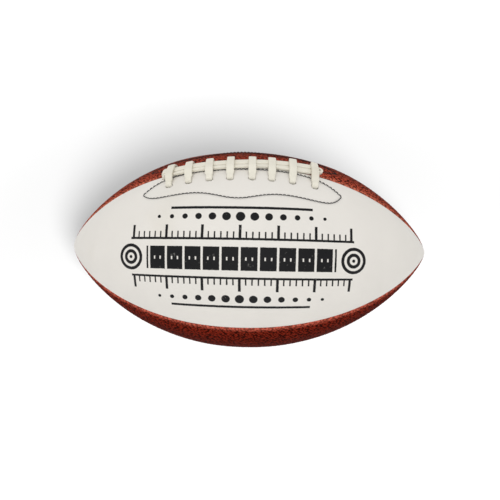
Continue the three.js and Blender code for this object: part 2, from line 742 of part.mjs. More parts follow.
// Each panel starts at a seam, counted in quarter turns from the lace seam towards the front.
add("panel_front_white", cut(coverPanel(0), laceSlots(1)), "white_cover");
add("panel_back_brown", cut(coverPanel(-QUARTER), laceSlots(-1)), "brown_cover");
add("panel_lower_brown", cut(coverPanel(QUARTER), [groundCutter()]), "brown_cover");
add("panel_rear_white", cut(coverPanel(2 * QUARTER), [groundCutter(), valveHole()]), "white_cover");
add("lining_front", cut(panelLining(0), laceSlots(1)), "lining");
add("lining_back", cut(panelLining(-QUARTER), laceSlots(-1)), "lining");
add("lining_lower", panelLining(QUARTER), "lining");
add("lining_rear", cut(panelLining(2 * QUARTER), [valveHole()]), "lining");

add("lace_facing_front", cut(laceFacing(1), laceSlots(1)), "facing");
add("lace_facing_back", cut(laceFacing(-1), laceSlots(-1)), "facing");
add("facing_stitch_front", facingStitch(1), "black_thread");
add("facing_stitch_back", facingStitch(-1), "black_thread");
add("lace_tongue", laceTongue(), "facing");
add("lace", lace(), "lace");

// The lace seam is sewn only outside the slit. The other three seams are sewn from end to end.
const SEWN_TO = 0.78 * HALF;
add("seam_thread_lace_left", seamThread(0, -SEWN_TO, -SLIT_HALF_LENGTH), "seam_thread");
add("seam_thread_lace_right", seamThread(0, SLIT_HALF_LENGTH, SEWN_TO), "seam_thread");
add("seam_thread_front", seamThread(QUARTER, -SEWN_TO, SEWN_TO), "seam_thread");
add("seam_thread_lower", seamThread(2 * QUARTER, -SEWN_TO, SEWN_TO), "seam_thread");
add("seam_thread_rear", seamThread(3 * QUARTER, -SEWN_TO, SEWN_TO), "seam_thread");

add("bladder", bladder(), "bladder");
add("valve_body", valveBody(), "valve");
add("valve_core", valveCore(), "valve");

export default football;
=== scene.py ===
import math

import bmesh
import bpy
import numpy as np
from bpy.props import FloatProperty, FloatVectorProperty, IntProperty, PointerProperty
from mathutils import Matrix, Vector


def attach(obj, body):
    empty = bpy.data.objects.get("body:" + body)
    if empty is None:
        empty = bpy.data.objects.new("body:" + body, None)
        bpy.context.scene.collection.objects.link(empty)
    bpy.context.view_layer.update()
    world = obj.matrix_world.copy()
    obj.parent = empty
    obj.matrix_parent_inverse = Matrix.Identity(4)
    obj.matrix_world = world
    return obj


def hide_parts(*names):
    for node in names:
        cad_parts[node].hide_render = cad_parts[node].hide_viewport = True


bl_info = {
    "name": "Laced Football",
    "version": (1, 0, 0),
    "blender": (4, 5, 0),
    "location": "View3D > Sidebar > Football",
    "description": "Dresses a packed football with pebbled covers, a lace, stitching and a studio",
    "category": "Object",
}

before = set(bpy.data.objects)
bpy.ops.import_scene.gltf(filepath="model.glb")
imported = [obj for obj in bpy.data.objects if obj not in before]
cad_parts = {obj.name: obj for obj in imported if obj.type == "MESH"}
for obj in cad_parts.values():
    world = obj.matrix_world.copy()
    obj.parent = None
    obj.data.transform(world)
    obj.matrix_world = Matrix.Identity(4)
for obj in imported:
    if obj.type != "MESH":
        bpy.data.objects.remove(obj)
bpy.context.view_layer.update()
MM = 0.001
QUARTER = math.pi / 2
TURN = 2 * math.pi
ROUND = 2.0  # the power of a round hole's outline
SLOT_POWER = 2.2  # the same for a lace slot, which is a little squarer
PANEL_END = 0.5 * MM  # the ball's radius where a panel's rows end
VALVE_ANGLE = 2.5 * QUARTER  # the middle of the rear panel
PRINT_EDGE = 0.25  # millimetres over which the print's edges fade


def length(name, description, millimetres):
    """A size of the ball, kept in metres."""
    metres = millimetres * MM
    return FloatProperty(name=name, description=description, default=metres, unit="LENGTH", precision=4)


def number(name, description, default, subtype="NONE"):
    """A plain number, or an angle in radians."""
    return FloatProperty(name=name, description=description, default=default, subtype=subtype)


def pulls(name, description, millimetres):
    """One small shift for each bar, as hand lacing leaves them."""
    metres = [shift * MM for shift in millimetres]
    kind = {"size": len(metres), "unit": "LENGTH"}
    return FloatVectorProperty(name=name, description=description, default=metres, **kind)


def colour(name, description, rgb):
    """A linear colour."""
    kind = {"subtype": "COLOR", "min": 0, "max": 1}
    return FloatVectorProperty(name=name, description=description, default=rgb, **kind)


class FootballBody(bpy.types.PropertyGroup):
    """Sizes of the ball and its cover."""

    length: length("Length", "From tip to tip", 286)
    diameter: length("Diameter", "Across the middle", 156)
    belly_power: number("Belly", "How flat the middle of the outline is", 2.09)
    nose_power: number("Nose", "How blunt the tips are", 0.79)
    rest_depth: length("Resting depth", "How far the ball settles on the floor", 0.8)
    rest_ease: length("Resting ease", "How softly the resting flat begins", 0.15)
    tip_radius: length("Tip radius", "Where the panels end at the tips", 1.5)
    cover: length("Cover", "Thickness of a cover panel", 1.8)
    lining: length("Lining", "Thickness of the cloth behind a panel", 1.2)
    clearance: length("Clearance", "Between pieces that lie on each other", 0.3)
    allowance: length("Seam allowance", "Depth of a panel's turned-in edge", 5.2)
    groove: length("Seam groove", "How far the cover dips into a seam", 0.7)
    roll: length("Seam roll", "Width of cover that rolls into a seam", 1.8)
    back_sag: length("Back sag", "How far the cover lies in behind the lacing", 1.3)
    pebble_spacing: length("Pebble spacing", "Between the bumps of the brown grain", 2.1)
    pebble_height: length("Pebble height", "How far the bumps stand up", 0.26)
    # painted highlight: width of the lighter band painted along each seam of the brown panels
    rub_width: length("Rub width", "Of the cover that is worn along a seam", 2.4)


class FootballLacing(bpy.types.PropertyGroup):
    """Sizes of the lace, its slots and the sewn outline round them."""

    bars: IntProperty(name="Bars", description="How many times the lace crosses the seam", default=8)
    pitch: length("Pitch", "Between bars", 14.06)
    shift: length("Shift", "Of the whole lacing along the ball", -1.35)
    width: length("Lace width", "Across the strap", 5.2)
    thickness: length("Lace thickness", "Through the strap", 1.8)
    bend: length("Bend", "Radius of the strap's middle where it turns through a slot", 2.0)
    stand_off: length("Stand-off", "Between the strap and what it lies on or passes", 0.3)
    slot_offset: length("Front slots", "From the seam to the strap in its front slots", 12.3)
    back_offset: length("Back slots", "From the seam to the strap in its back slots", 10.2)
    slot_mouth: length("Slot mouth", "How far a slot is open behind the strap", 1.1)
    slot_width: length("Slot width", "Along the ball, where the strap is drawn together", 4.6)
    overrun: length("Strip overrun", "From the first bar to where the front strip goes in", 5.2)
    end_skew: length("End skew", "How much further the back strip runs before it goes in", 1.2)
    loop_overrun: length("Loop overrun", "From the last bar to where the strips turn into each other", 3.5)
    loop_width: length("Loop width", "Of the strap where it is drawn together in that turn", 1.8)
    front_width: length("Front strip", "Width of the front strip, which is drawn together", 2.7)
    front_spread: length("Front spread", "How much wider the front strip lies near the loop", 2.0)
    back_lift: length("Back lift", "How much higher the back strip lies than the front one", 0.3)
    end_lift: length("End lift", "How far the strips stand off the ball before they go in", 0.7)
    strip_gap: length("Strip gap", "Between the two long strips", 0.5)
    drift: length("Drift", "How far the strips wander back towards the loop", 5.4)
    drift_start: length("Drift start", "How far forward of the seam the strips part at their other end", 0.8)
    bar_lift: length("Bar lift", "Between the strips and the bars", 0.3)
    under: length("Inner run", "Depth of the strap's middle inside the ball", 7.0)
    tail: length("Tail", "How deep the cut ends are tucked in", 6.3)
    pull_front: pulls(
        "Front pull",
        "Of each bar off its even place, at the front",
        (0.25, 0, 0, 0, 0.6, -0.5, -0.8, 0.2),
    )
    pull_back: pulls(
        "Back pull",
        "Of each bar off its even place, at the back",
        (0.5, -1.2, -0.9, -0.5, 0, -0.8, -0.8, 0.1),
    )
    stitch_half: length("Outline half length", "From the middle to the tips of the sewn outline", 68)
    stitch_tip: length("Outline tip", "Of the outline's tips from the seam", 13.9)
    stitch_near: length("Outline start", "Of the outline's near side from the seam", 2.8)
    stitch_outer: length("Outline reach", "Of the outline's far side from the seam", 23.2)
    stitch_tilt: number("Outline tilt", "Rise of the far side along the ball", 0.028)
    stitch_bulge: length("Outline bulge", "Of the far side at the middle", 6.0)
    stitch_bulge_width: length("Bulge width", "Of that bulge along the ball", 19)
    thread: length("Thread", "Diameter of the sewing thread", 0.62)
    stitch: length("Stitch", "Length of one stitch", 2.6)
    stitch_depth: length("Stitch depth", "Of a stitch's ends in the cover", 1.0)
    stitch_arch: length("Stitch arch", "Height of a stitch over its ends", 0.95)


class FootballInside(bpy.types.PropertyGroup):
    """Sizes of the layers inside the cover, of the seam thread and of the valve."""

    lining_end: length("Lining end", "Radius of the ball where the linings end", 15)
    facing_depth: length("Facing depth", "Of a facing's outside below the cover", 4.26)
    facing: length("Facing", "Thickness of a facing", 1.4)
    facing_margin: length("Facing margin", "Of a facing beyond its stitching", 2.5)
    facing_start: length("Facing start", "Of a facing from the lace seam", 2.4)
    slit_half: length("Slit half length", "From the middle to where the lace seam is sewn", 61)
    tongue_depth: length("Tongue depth", "Of the tongue's outside below the cover", 8.66)
    tongue: length("Tongue", "Thickness of the tongue", 1.4)
    tongue_reach: length("Tongue reach", "Of the tongue to each side of the seam", 18)
    bladder_depth: length("Bladder depth", "Of the bladder's outside below the cover", 6.16)
    bladder: length("Bladder wall", "Thickness of the rubber", 1.0)
    pressed: length("Pressed in", "How far the tongue presses the bladder in", 4.86)
    seam_thread: length("Seam thread", "Diameter of the thread", 0.9)
    seam_stitch: length("Seam stitch", "Length of one stitch", 4.2)
    seam_depth: length("Seam depth", "Of the seam thread below the cover", 4.25)
    seam_aside: length("Seam side", "Of the seam thread from the seam's middle", 2.7)
    sewn_to: number("Sewn to", "Share of the half length where the seam thread ends", 0.78)
    stem: length("Valve stem", "Radius of the valve's stem", 4.3)
    bore: length("Valve bore", "Radius of the hole for the plug", 1.9)
    flange: length("Valve flange", "Radius of the flange that is bonded to the bladder", 8.5)
    flange_thickness: length("Flange thickness", "Of the valve's flange", 1.2)
    valve_length: length("Valve length", "From the cover to the valve's foot", 17)
    head: length("Plug head", "Radius of the plug's head", 3.2)
    head_thickness: length("Head thickness", "Of the plug's head", 1.6)
    needle: length("Needle hole", "Radius of the hole for the needle", 0.6)


class FootballColours(bpy.types.PropertyGroup):
    """Finishes that a user would change."""

    white: colour("White cover", "Smooth panels", (0.785, 0.755, 0.705))
    soil: colour("Soil", "Faint marks on the white cover", (0.64, 0.585, 0.47))
    # painted shade: the dark grey painted inside the slot holes of the white cover
    white_slot_shade: colour("White slot shade", "Inside the holes of the white cover", (0.045, 0.04, 0.035))
    pebble_top: colour("Pebble", "Tops of the brown grain", (0.56, 0.090, 0.048))
    # painted shade: the near black painted into the valleys between the grain's bumps
    painted_valley_shade: colour("Grain valley shade", "Between the bumps of the brown grain", (0.026, 0.003, 0.002))
    # partly random wear on the grain's tops, and partly a painted highlight along the seams of the brown
    # panels
    wear_and_seam_highlight: colour("Rubbed grain", "Where the brown cover is worn, along its seams", (0.56, 0.165, 0.10))
    # painted shade: the darker brown along the middle of each brown panel, away from its seams
    dull: colour("Painted middle shade", "Along the middle of the brown panels", (0.045, 0.014, 0.010))
    # painted shade: the dark, deep red that the brown panel low on the ball is painted, where less light
    # falls
    painted_low_shade: colour("Painted low shade", "Low on the ball", (0.055, 0.0030, 0.0008))
    # painted highlight: the light red band painted along the seam of the low brown panel
    low_seam_highlight: colour("Low edge", "Rubbed grain low on the ball", (0.60, 0.125, 0.080))
    # painted shade: the near black painted inside the slot holes of the brown cover
    brown_slot_shade: colour("Brown slot shade", "Inside the holes of the brown cover", (0.012, 0.008, 0.007))
    ink: colour("Ink", "Print on the white panel", (0.006, 0.006, 0.007))
    lace: colour("Lace", "The strap", (0.80, 0.765, 0.66))
    lace_soil: colour("Lace soil", "Faint marks on the strap", (0.60, 0.53, 0.40))
    thread: colour("Thread", "The sewn outline", (0.022, 0.021, 0.024))
    cloth: colour("Cloth", "Linings and seam thread", (0.52, 0.47, 0.37))
    patch: colour("Patch", "Facings and tongue", (0.33, 0.26, 0.18))
    rubber: colour("Rubber", "Bladder and valve", (0.018, 0.018, 0.020))


class FootballStage(bpy.types.PropertyGroup):
    """Camera and light."""

    distance: length("Distance", "Of the camera from the ball's axis", 321.5)
    elevation: number("Elevation", "Of the camera", math.radians(43.7), "ANGLE")
    yaw: number("Yaw", "Of the camera round the ball", 0.0514, "ANGLE")
    roll: number("Roll", "Of the picture", 0.0198, "ANGLE")
    aim_right: length("Aim right", "Of the ball's middle", 3.21)
    aim_below: length("Aim below", "The ball's middle", 0.72)
    lens: number("Lens", "Focal length in millimetres", 28.235)
    sky: number("Sky", "Strength of the light from all round", 0.7)
    lamp: number("Lamp", "Strength of the broad lamp near the camera", 0.75)
    top_lamp: number("Top lamp", "Strength of the very broad lamp overhead", 0.4)
    floor_lamp: number("Floor lamp", "Strength of the lamp on the floor", 6.0)
    lamp_distance: length("Lamp distance", "Of the floor lamp from the ball", 410)
    lamp_right: number("Lamp right", "Of the camera, for each unit ahead", 0.19)
    lamp_below: number("Lamp below", "The camera, for each unit ahead", 0.16)
    lamp_breadth: number("Breadth", "Of that lamp", math.radians(15), "ANGLE")


# Formulas


def unit(vectors):
    """The same directions at length 1."""
    return vectors / np.linalg.norm(vectors, axis=-1, keepdims=True)


def run_along(path):
    """The way gone along a path at each of its points: the running sum of its steps."""
    return np.concatenate([[0], np.cumsum(np.linalg.norm(np.diff(path, axis=0), axis=-1))])


def bell(distance, breadth):
    """A Gaussian: 1 at no distance, and less than half beyond the breadth."""
    return np.exp(-((distance / breadth) ** 2))


def smooth_step(share):
    """0 up to 0, 1 from 1 on, and a cubic between."""
    share = np.clip(share, 0, 1)
    return share * share * (3 - 2 * share)


def signed_power(value, power):
    """The size of a value raised to a power, with the value's own sign."""
    return np.sign(value) * np.abs(value) ** power


def unit_noise(a, b, seed):
    """A number from 0 to 1 for each pair of whole numbers: the fraction of a large multiple of a sine."""
    value = np.sin(a * 12.9898 + b * 78.233 + seed * 37.719) * 43758.5453
    return value - np.floor(value)


def swell(x, v, seed):
    """Slow unevenness from -1 to 1: a sum of crossed sine waves."""
    a = np.sin(61 * x + 23 * v + seed) + np.sin(-37 * x + 71 * v + 2.1 * seed)
    b = np.sin(113 * x - 59 * v + 3.3 * seed) + np.sin(29 * x + 131 * v + 1.7 * seed)
    return (a + 0.6 * b) / 3.2


# The ball as a surface


class Ball:
    """The ball's outline: its radius at x is R (1 - |x / a| ^ belly) ^ nose, where a is its half length."""

    DRAWN_IN = 1.2  # how many depths before the cover's tips a layer ends

    def __init__(self, body):
        self.body = body
        self.radius = body.diameter / 2
        self.half = body.length / 2 / self.share_at(body.tip_radius)
        self.axis_height = self.radius - body.rest_depth
        self.panel_shift = body.clearance / 2 / math.sin(QUARTER / 2)

    def share_at(self, radius):
        """The share of the half length where the outline has a radius: its formula turned round."""
        return (1 - (radius / self.radius) ** (1 / self.body.nose_power)) ** (1 / self.body.belly_power)

    def radius_at(self, x, depth=0.0):
        """The outline's radius at x for a layer that lies a depth inside: both R and a are smaller there."""
        share = np.minimum(np.abs(x) / (self.half - self.DRAWN_IN * depth), 1)
        return (self.radius - depth) * (1 - share**self.body.belly_power) ** self.body.nose_power

    def drawn_in(self, x, depth):
        """Places along the ball on a layer that lies a depth inside, in step with those on the cover."""
        return x * (1 - self.DRAWN_IN * depth / self.half)

    def slope_at(self, x):
        """The outline's slope: the derivative of the radius by x."""
        p, q = self.body.belly_power, self.body.nose_power
        share = np.abs(x) / self.half
        steep = p * share ** (p - 1) * q * (1 - share**p) ** (q - 1)
        return -np.sign(x) * self.radius * steep / self.half

    def round_axis(self, x, radius, angle):
        """Points at a radius from the ball's axis, turned from the top towards the front by an angle."""
        x, radius, angle = np.broadcast_arrays(x, radius, angle)
        return np.stack([x, -radius * np.sin(angle), radius * np.cos(angle) + self.axis_height], axis=-1)

    def beside(self, x, out, aside, seam):
        """Points out from the axis towards a seam, and aside from the seam's plane."""
        s, c = math.sin(seam), math.cos(seam)
        return np.stack([x, -out * s - aside * c, out * c - aside * s + self.axis_height], axis=-1)

    def apart(self, first_seam):
        """The shift of a panel straight out through its middle, which leaves the clearance at its seams."""
        centre = first_seam + QUARTER / 2
        return self.panel_shift * np.array([0, -math.sin(centre), math.cos(centre)])

    def normal(self, x, angle):
        """The direction straight out of the outline: the radial direction tipped back by the slope."""
        x, angle = np.broadcast_arrays(x, angle)
        slope = self.slope_at(x)
        out = np.stack([-slope, -np.sin(angle), np.cos(angle)], axis=-1)
        return out / np.sqrt(1 + slope**2)[..., None]

    def point(self, x, v, h, seam=0.0):
        """Points x along the ball, v round it from a seam as arc length, and h out along the normal."""
        x, v, h = np.broadcast_arrays(x, v, h)
        r = self.radius_at(x)
        angle = seam + v / r
        return self.round_axis(x, r, angle) + h[..., None] * self.normal(x, angle)

    def axes(self, x, v, seam=0.0):
        """The directions of x, v and h at points on the ball."""
        angle = seam + v / self.radius_at(x)
        radial = np.stack([np.zeros_like(angle), -np.sin(angle), np.cos(angle)], axis=-1)
        slope = self.slope_at(x)[..., None]
        along = (np.array([1.0, 0, 0]) + slope * radial) / np.sqrt(1 + slope**2)
        across = np.stack([np.zeros_like(angle), -np.cos(angle), -np.sin(angle)], axis=-1)
        return along, across, self.normal(x, angle)

    def stations(self, count, end_radius):
        """Places along the ball, evenly spaced on its outline, from where its radius is end_radius at one tip
        to the same at the other."""
        fine = self.half * self.share_at(end_radius) * np.sin(np.linspace(-QUARTER, QUARTER, 4001))
        run = run_along(np.stack([fine, self.radius_at(fine)], axis=-1))
        return np.interp(np.linspace(0, run[-1], count), run, fine)


class Lacing:
    """Places that the lace, its slots and its stitching share. x is measured along the ball from the lacing's
    own middle, and v round it from the lace seam, towards the front."""

    def __init__(self, sizes):
        s = self.sizes = sizes
        self.first_bar = -(s.bars - 1) / 2 * s.pitch
        self.strip_end = s.overrun - self.first_bar
        self.loop_start = s.loop_overrun - self.first_bar
        self.front_strip = (s.strip_gap + s.front_width) / 2
        self.back_strip = -(s.strip_gap + s.width) / 2
        self.front_reach = self.front_strip + s.front_width / 2
        self.back_reach = s.width / 2 - self.back_strip
        self.out = s.stand_off + s.thickness / 2
        self.over = self.out + s.thickness + s.bar_lift
        self.front_bars = self.bar_places(s.pull_front)
        self.back_bars = self.bar_places(s.pull_back)
        followed = 0.8  # of the strips' wander, by the back slots
        self.back_offsets = s.back_offset - followed * np.minimum(self.drift(self.back_bars), 0)

    def bar_places(self, pull):
        """Even places along the seam, each moved by its own pull."""
        count = self.sizes.bars
        even = self.first_bar + self.sizes.pitch * np.arange(count)
        return even + np.interp(np.linspace(0, 1, count), np.linspace(0, 1, len(pull)), pull)

    def slots(self, side):
        """Centres, half sizes and power (x, v, half x, half v, power) on the ball of the slots on one side,
        and of the strips' two end slots."""
        s = self.sizes
        half_v = (s.thickness / 2 + s.bend + s.slot_mouth) / 2
        ahead = s.thickness / 2 + s.slot_mouth - half_v
        if side > 0:
            places = [(x, s.slot_offset + ahead) for x in self.front_bars]
        else:
            places = [(x, -offset - ahead) for x, offset in zip(self.back_bars, self.back_offsets)]
        slots = [(x + s.shift, v, s.slot_width / 2, half_v, SLOT_POWER) for x, v in places]
        half_x = (s.thickness / 2 + s.bend + s.stand_off) / 2
        end = -self.strip_end - s.thickness / 2 - s.stand_off + half_x + s.shift
        start = self.drift(-self.strip_end)
        slots.append((end, self.front_strip + start, half_x, s.front_width / 2, SLOT_POWER))
        slots.append((end - s.end_skew, self.back_strip + start, half_x, s.width / 2, SLOT_POWER))
        return slots

    def drift(self, x):
        """How far the strips lie off their even places at x: a little forward, then back by a power of the
        way from near the middle to the loop."""
        start, power = -20 * MM, 1.7
        share = np.clip((x - start) / (self.loop_start - start), 0, 1)
        return self.sizes.drift_start - self.sizes.drift * share**power

    def far_side(self, x):
        """The outline's far side: a slightly tilted line plus a Gaussian bulge near the middle."""
        s = self.sizes
        bulge_at = -2 * MM
        return s.stitch_outer + s.stitch_tilt * x + s.stitch_bulge * bell(x - bulge_at, s.stitch_bulge_width)

    def edges(self, x, near, margin=0.0):
        """Where the near and the far side of the sewn outline lie at x, or of a patch that is larger by a
        margin. Each runs from tip to tip at its own reach times one minus a high power of x over the half
        length."""
        tip, near_power, far_power = self.sizes.stitch_tip, 6, 12
        share = np.abs(x) / (self.sizes.stitch_half + margin)
        start = tip + (near - tip) * (1 - share**near_power)
        reach = tip + (self.far_side(x) + margin - tip) * (1 - share**far_power)
        return start, reach

    def outline(self, side, count):
        """The sewn outline on the ball as a loop of (x, v), evenly spaced, and its length."""
        s = self.sizes
        near = s.stitch_near if side > 0 else self.back_reach + s.thread
        turn = np.linspace(0, TURN, 4000, endpoint=False)
        x = s.stitch_half * signed_power(np.cos(turn), 0.6)
        start, reach = self.edges(x, near)
        v = side * np.where(np.sin(turn) >= 0, reach, start)
        closed = np.stack([np.append(x, x[0]) + s.shift, np.append(v, v[0])], axis=-1)
        run = run_along(closed)
        even = np.linspace(0, run[-1], count, endpoint=False)
        return np.stack([np.interp(even, run, line) for line in closed.T], axis=-1), run[-1]


def plans_of(context):
    """The ball, the lacing, the inner sizes and the colours that every operator starts from."""
    scene = context.scene
    shapes = Ball(scene.football_body), Lacing(scene.football_lacing)
    return *shapes, scene.football_inside, scene.football_colours


# Meshes


def new_piece(name, points, faces, material, node, attributes=None, crease=40):
    """Puts arrays of points and faces into a mesh object that rides on the ball and stands for a CAD node."""
    mesh = bpy.data.meshes.new(name)
    mesh.from_pydata(points.reshape(-1, 3), [], faces)
    for key, values in (attributes or {}).items():
        flat = np.asarray(values, dtype=np.float32)
        kind, field = ("FLOAT", "value") if flat.ndim == 1 else ("FLOAT_VECTOR", "vector")
        mesh.attributes.new(key, kind, "POINT").data.foreach_set(field, flat.ravel())
    mesh.shade_smooth()
    mesh.set_sharp_from_angle(angle=math.radians(crease))
    mesh.materials.append(material)
    mesh.validate()
    mesh.update()
    piece = bpy.data.objects.new(name, mesh)
    bpy.context.scene.collection.objects.link(piece)
    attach(piece, "root")
    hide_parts(node)
    return piece


def tube_faces(rows, columns, is_loop=False):
    """Quads of a grid whose columns close on themselves. Its ends are closed by a fan to one more point each,
    unless its rows close on themselves too."""
    i, k = np.meshgrid(np.arange(rows if is_loop else rows - 1), np.arange(columns), indexing="ij")
    j, m = (i + 1) % rows, (k + 1) % columns
    corners = [i * columns + k, i * columns + m, j * columns + m, j * columns + k]
    quads = np.stack(corners, axis=-1).reshape(-1, 4).tolist()
    if is_loop:
        return quads
    first, last = rows * columns, rows * columns + 1
    k = np.arange(columns)
    m = (k + 1) % columns
    end = (rows - 1) * columns
    head = np.stack([np.full(columns, first), m, k], axis=-1)
    tail = np.stack([np.full(columns, last), end + k, end + m], axis=-1)
    return quads + head.tolist() + tail.tolist()


def repeated(faces, each, count):
    """The faces of a shape over again for each of its copies, which have so many points each."""
    start = each * np.arange(count)[:, None, None]
    quads, triangles = (np.array([face for face in faces if len(face) == size]) for size in (4, 3))
    return (quads + start).reshape(-1, 4).tolist() + (triangles + start).reshape(-1, 3).tolist()


def tube_points(rings):
    """Rings of points followed by the middle of the first and of the last ring, which close the ends."""
    ends = np.stack([rings[0].mean(axis=0), rings[-1].mean(axis=0)])
    return np.concatenate([rings.reshape(-1, 3), ends])


def tube_values(grid):
    """Values on rings of points, in the order of tube_points, with nothing on the two ends."""
    flat = grid.reshape(-1, *grid.shape[2:])
    return np.concatenate([flat, np.zeros((2, *grid.shape[2:]))])


def carry(path, normals, width, thick):
    """A profile carried along a path: at each point its width lies across the path and its thickness along
    the normal, made square to the path. width and thick hold a row of profile points for each place on it."""
    ahead = unit(np.gradient(path, axis=-2))
    wide = unit(np.cross(normals, ahead))
    out = np.cross(ahead, wide)
    return path[..., None, :] + width[..., None] * wide[..., None, :] + thick[..., None] * out[..., None, :]


def pebbles(x, v, spacing, seed):
    """Leather grain: a rounded bump round the nearest point of a staggered lattice whose points are each
    moved a little. Height is a Gaussian of the distance to that point, and each bump has its own size."""
    scatter, breadth = 0.62, 0.42  # of the spacing
    row_height = spacing * 0.87
    row = np.floor(v / row_height)
    best = np.full(x.shape, np.inf)
    size = np.ones(x.shape)
    for dj in (-1, 0, 1):
        j = row + dj
        stagger = (j % 2) * spacing / 2
        column = np.floor((x - stagger) / spacing)
        for di in (-1, 0, 1):
            i = column + di
            cx = (i + 0.5 + scatter * (unit_noise(i, j, seed) - 0.5)) * spacing + stagger
            cv = (j + 0.5 + scatter * (unit_noise(i, j, seed + 1) - 0.5)) * row_height
            own = 0.8 + 0.4 * unit_noise(i, j, seed + 2)
            distance = np.hypot(x - cx, v - cv) / own
            size = np.where(distance < best, own, size)
            best = np.minimum(best, distance)
    return bell(best, breadth * spacing) * (0.7 + 0.3 * size)


def distance_to_loop(x, v, loop):
    """Distance from each grid point to a loop of points, worked out only near the loop."""
    far, margin = 1.0, 10 * MM
    distance = np.full(x.shape, far)
    reach_x, reach_v = np.abs(loop).max(axis=0) + margin
    near = (np.abs(x) < reach_x) & (np.abs(v) < reach_v)
    px, pv = x[near].astype(np.float32), v[near].astype(np.float32)
    best = np.full(px.shape, far, dtype=np.float32)
    for part in np.array_split(loop.astype(np.float32), 24):
        best = np.minimum(best, np.hypot(px[:, None] - part[:, 0], pv[:, None] - part[:, 1]).min(axis=1))
    distance[near] = best
    return distance


def punch(x, v, holes, depth=0.0):
    """Presses holes into a grid of (x, v). A hole's own distance is a high-power mean of x and v over its
    half sizes: the grid inside 0.75 goes to the bottom, that from 0.75 to 1.25 stands as the wall on the
    hole's rim, and that beyond, up to 1.9, closes up to the rim. Returns the moved grid, its depth and how
    far inside it is."""
    x, v = x.copy(), v.copy()
    drop, inside = np.zeros_like(x), np.zeros_like(x)
    for cx, cv, hx, hv, power in holes:
        near = (np.abs(x - cx) < 2 * hx) & (np.abs(v - cv) < 2 * hv)
        a, b = (x[near] - cx) / hx, (v[near] - cv) / hv
        m = np.maximum((np.abs(a) ** power + np.abs(b) ** power) ** (1 / power), 1e-6)
        moved = np.interp(m, [0, 0.75, 1.25, 1.9, 9], [0, 0.97, 1.0, 1.9, 9])
        x[near] = cx + a * hx * moved / m
        v[near] = cv + b * hv * moved / m
        drop[near] = np.maximum(drop[near], depth * np.interp(m, [0.75, 1.2], [1, 0]))
        inside[near] = np.maximum(inside[near], np.interp(m, [0.95, 1.25], [1, 0]))
    return x, v, drop, inside


# Materials


def both_ways(operation):
    """An operator on values as a Math node, and its reflected form."""

    def plain(self, other):
        return self.paint.maths(operation, self, other)

    def reflected(self, other):
        return self.paint.maths(operation, other, self)

    return plain, reflected


class Value:
    """A number in a shader. Expressions on it add Math nodes."""

    __add__, __radd__ = both_ways("ADD")
    __sub__, __rsub__ = both_ways("SUBTRACT")
    __mul__, __rmul__ = both_ways("MULTIPLY")
    __truediv__, __rtruediv__ = both_ways("DIVIDE")
    __pow__, __rpow__ = both_ways("POWER")
    __mod__, __rmod__ = both_ways("FLOORED_MODULO")

    def __init__(self, paint, socket):
        self.paint = paint
        self.socket = socket

    def __abs__(self):
        return self.paint.maths("ABSOLUTE", self)

    def clamp(self):
        return self.paint.maths("ADD", self, 0.0, clamp=True)

    def most(self, other):
        return self.paint.maths("MAXIMUM", self, other)

    def step(self, low, high):
        """0 below low, 1 above high, and smooth between."""
        inputs = {"Value": self, "From Min": low, "From Max": high}
        return self.paint.value("ShaderNodeMapRange", {"interpolation_type": "SMOOTHSTEP"}, inputs)


class Paint:
    """The nodes of a new material, or of a sky or lamp that is given."""

    def __init__(self, name, owner=None):
        self.owner = owner or bpy.data.materials.new(name)
        self.owner.use_nodes = True
        self.tree = self.owner.node_tree

    def node(self, kind, settings=None, inputs=None):
        """Adds a node, sets it up, then gives its sockets values or links."""
        node = self.tree.nodes.new(kind)
        for key, value in (settings or {}).items():
            setattr(node, key, value)
        for key, value in (inputs or {}).items():
            self.feed(node.inputs[key], value)
        return node

    def feed(self, socket, value):
        source = getattr(value, "socket", value)
        if isinstance(source, bpy.types.NodeSocket):
            self.tree.links.new(source, socket)
        else:
            socket.default_value = value

    def value(self, kind, settings=None, inputs=None, output=0):
        return Value(self, self.node(kind, settings, inputs).outputs[output])

    def maths(self, operation, *values, clamp=False):
        settings = {"operation": operation, "use_clamp": clamp}
        return self.value("ShaderNodeMath", settings, dict(enumerate(values)))

    def attribute(self, name, output="Fac"):
        return self.value("ShaderNodeAttribute", {"attribute_name": name}, output=output)

    def split(self, vector):
        parts = self.node("ShaderNodeSeparateXYZ", None, {"Vector": vector})
        return [Value(self, socket) for socket in parts.outputs]

    def on_surface(self):
        """The piece's own measures along it and across it, and a third value."""
        return self.split(self.attribute("place", "Vector"))

    def in_space(self):
        return self.value("ShaderNodeTexCoord", output="Object")

    def noise(self, scale, detail=3.0, roughness=0.55):
        """Cloudy noise from 0 to 1, with scale clouds to a metre."""
        inputs = {"Vector": self.in_space(), "Scale": scale, "Detail": detail, "Roughness": roughness}
        return self.value("ShaderNodeTexNoise", None, inputs)

    def mix(self, share, a, b):
        """Colour a where share is 0 and b where it is 1."""
        inputs = {0: share, 6: rgba(a), 7: rgba(b)}
        return self.value("ShaderNodeMix", {"data_type": "RGBA"}, inputs, output=2)

    def bump(self, height, distance, strength):
        inputs = {"Height": height, "Distance": distance, "Strength": strength}
        return self.value("ShaderNodeBump", None, inputs, output="Normal")

    def finish(self, **sockets):
        """Gives the material's main shader its values and links."""
        shader = self.tree.nodes["Principled BSDF"]
        for key, value in sockets.items():
            self.feed(shader.inputs[key.replace("_", " ").title().replace("Ior", "IOR")], value)
        return self.owner


def rgba(value):
    return value if isinstance(value, Value) else (*value[:3], 1.0)


def shade(rgb, amount):
    """A colour made darker or lighter."""
    return tuple(min(c * amount, 1) for c in rgb)


def zigzag(value):
    """Falls and rises evenly between 1 and 0, once for every 2 of the value."""
    return abs(value % 2.0 - 1.0)


def every(u, period):
    """Distance from the nearest of a row of lines that lie a period apart."""
    return abs((u + period / 2) % period - period / 2)


def fill(inside):
    """1 where a distance inside an outline is above 0, and 0 where it is below, with a soft edge."""
    return (inside / PRINT_EDGE + 0.5).clamp()


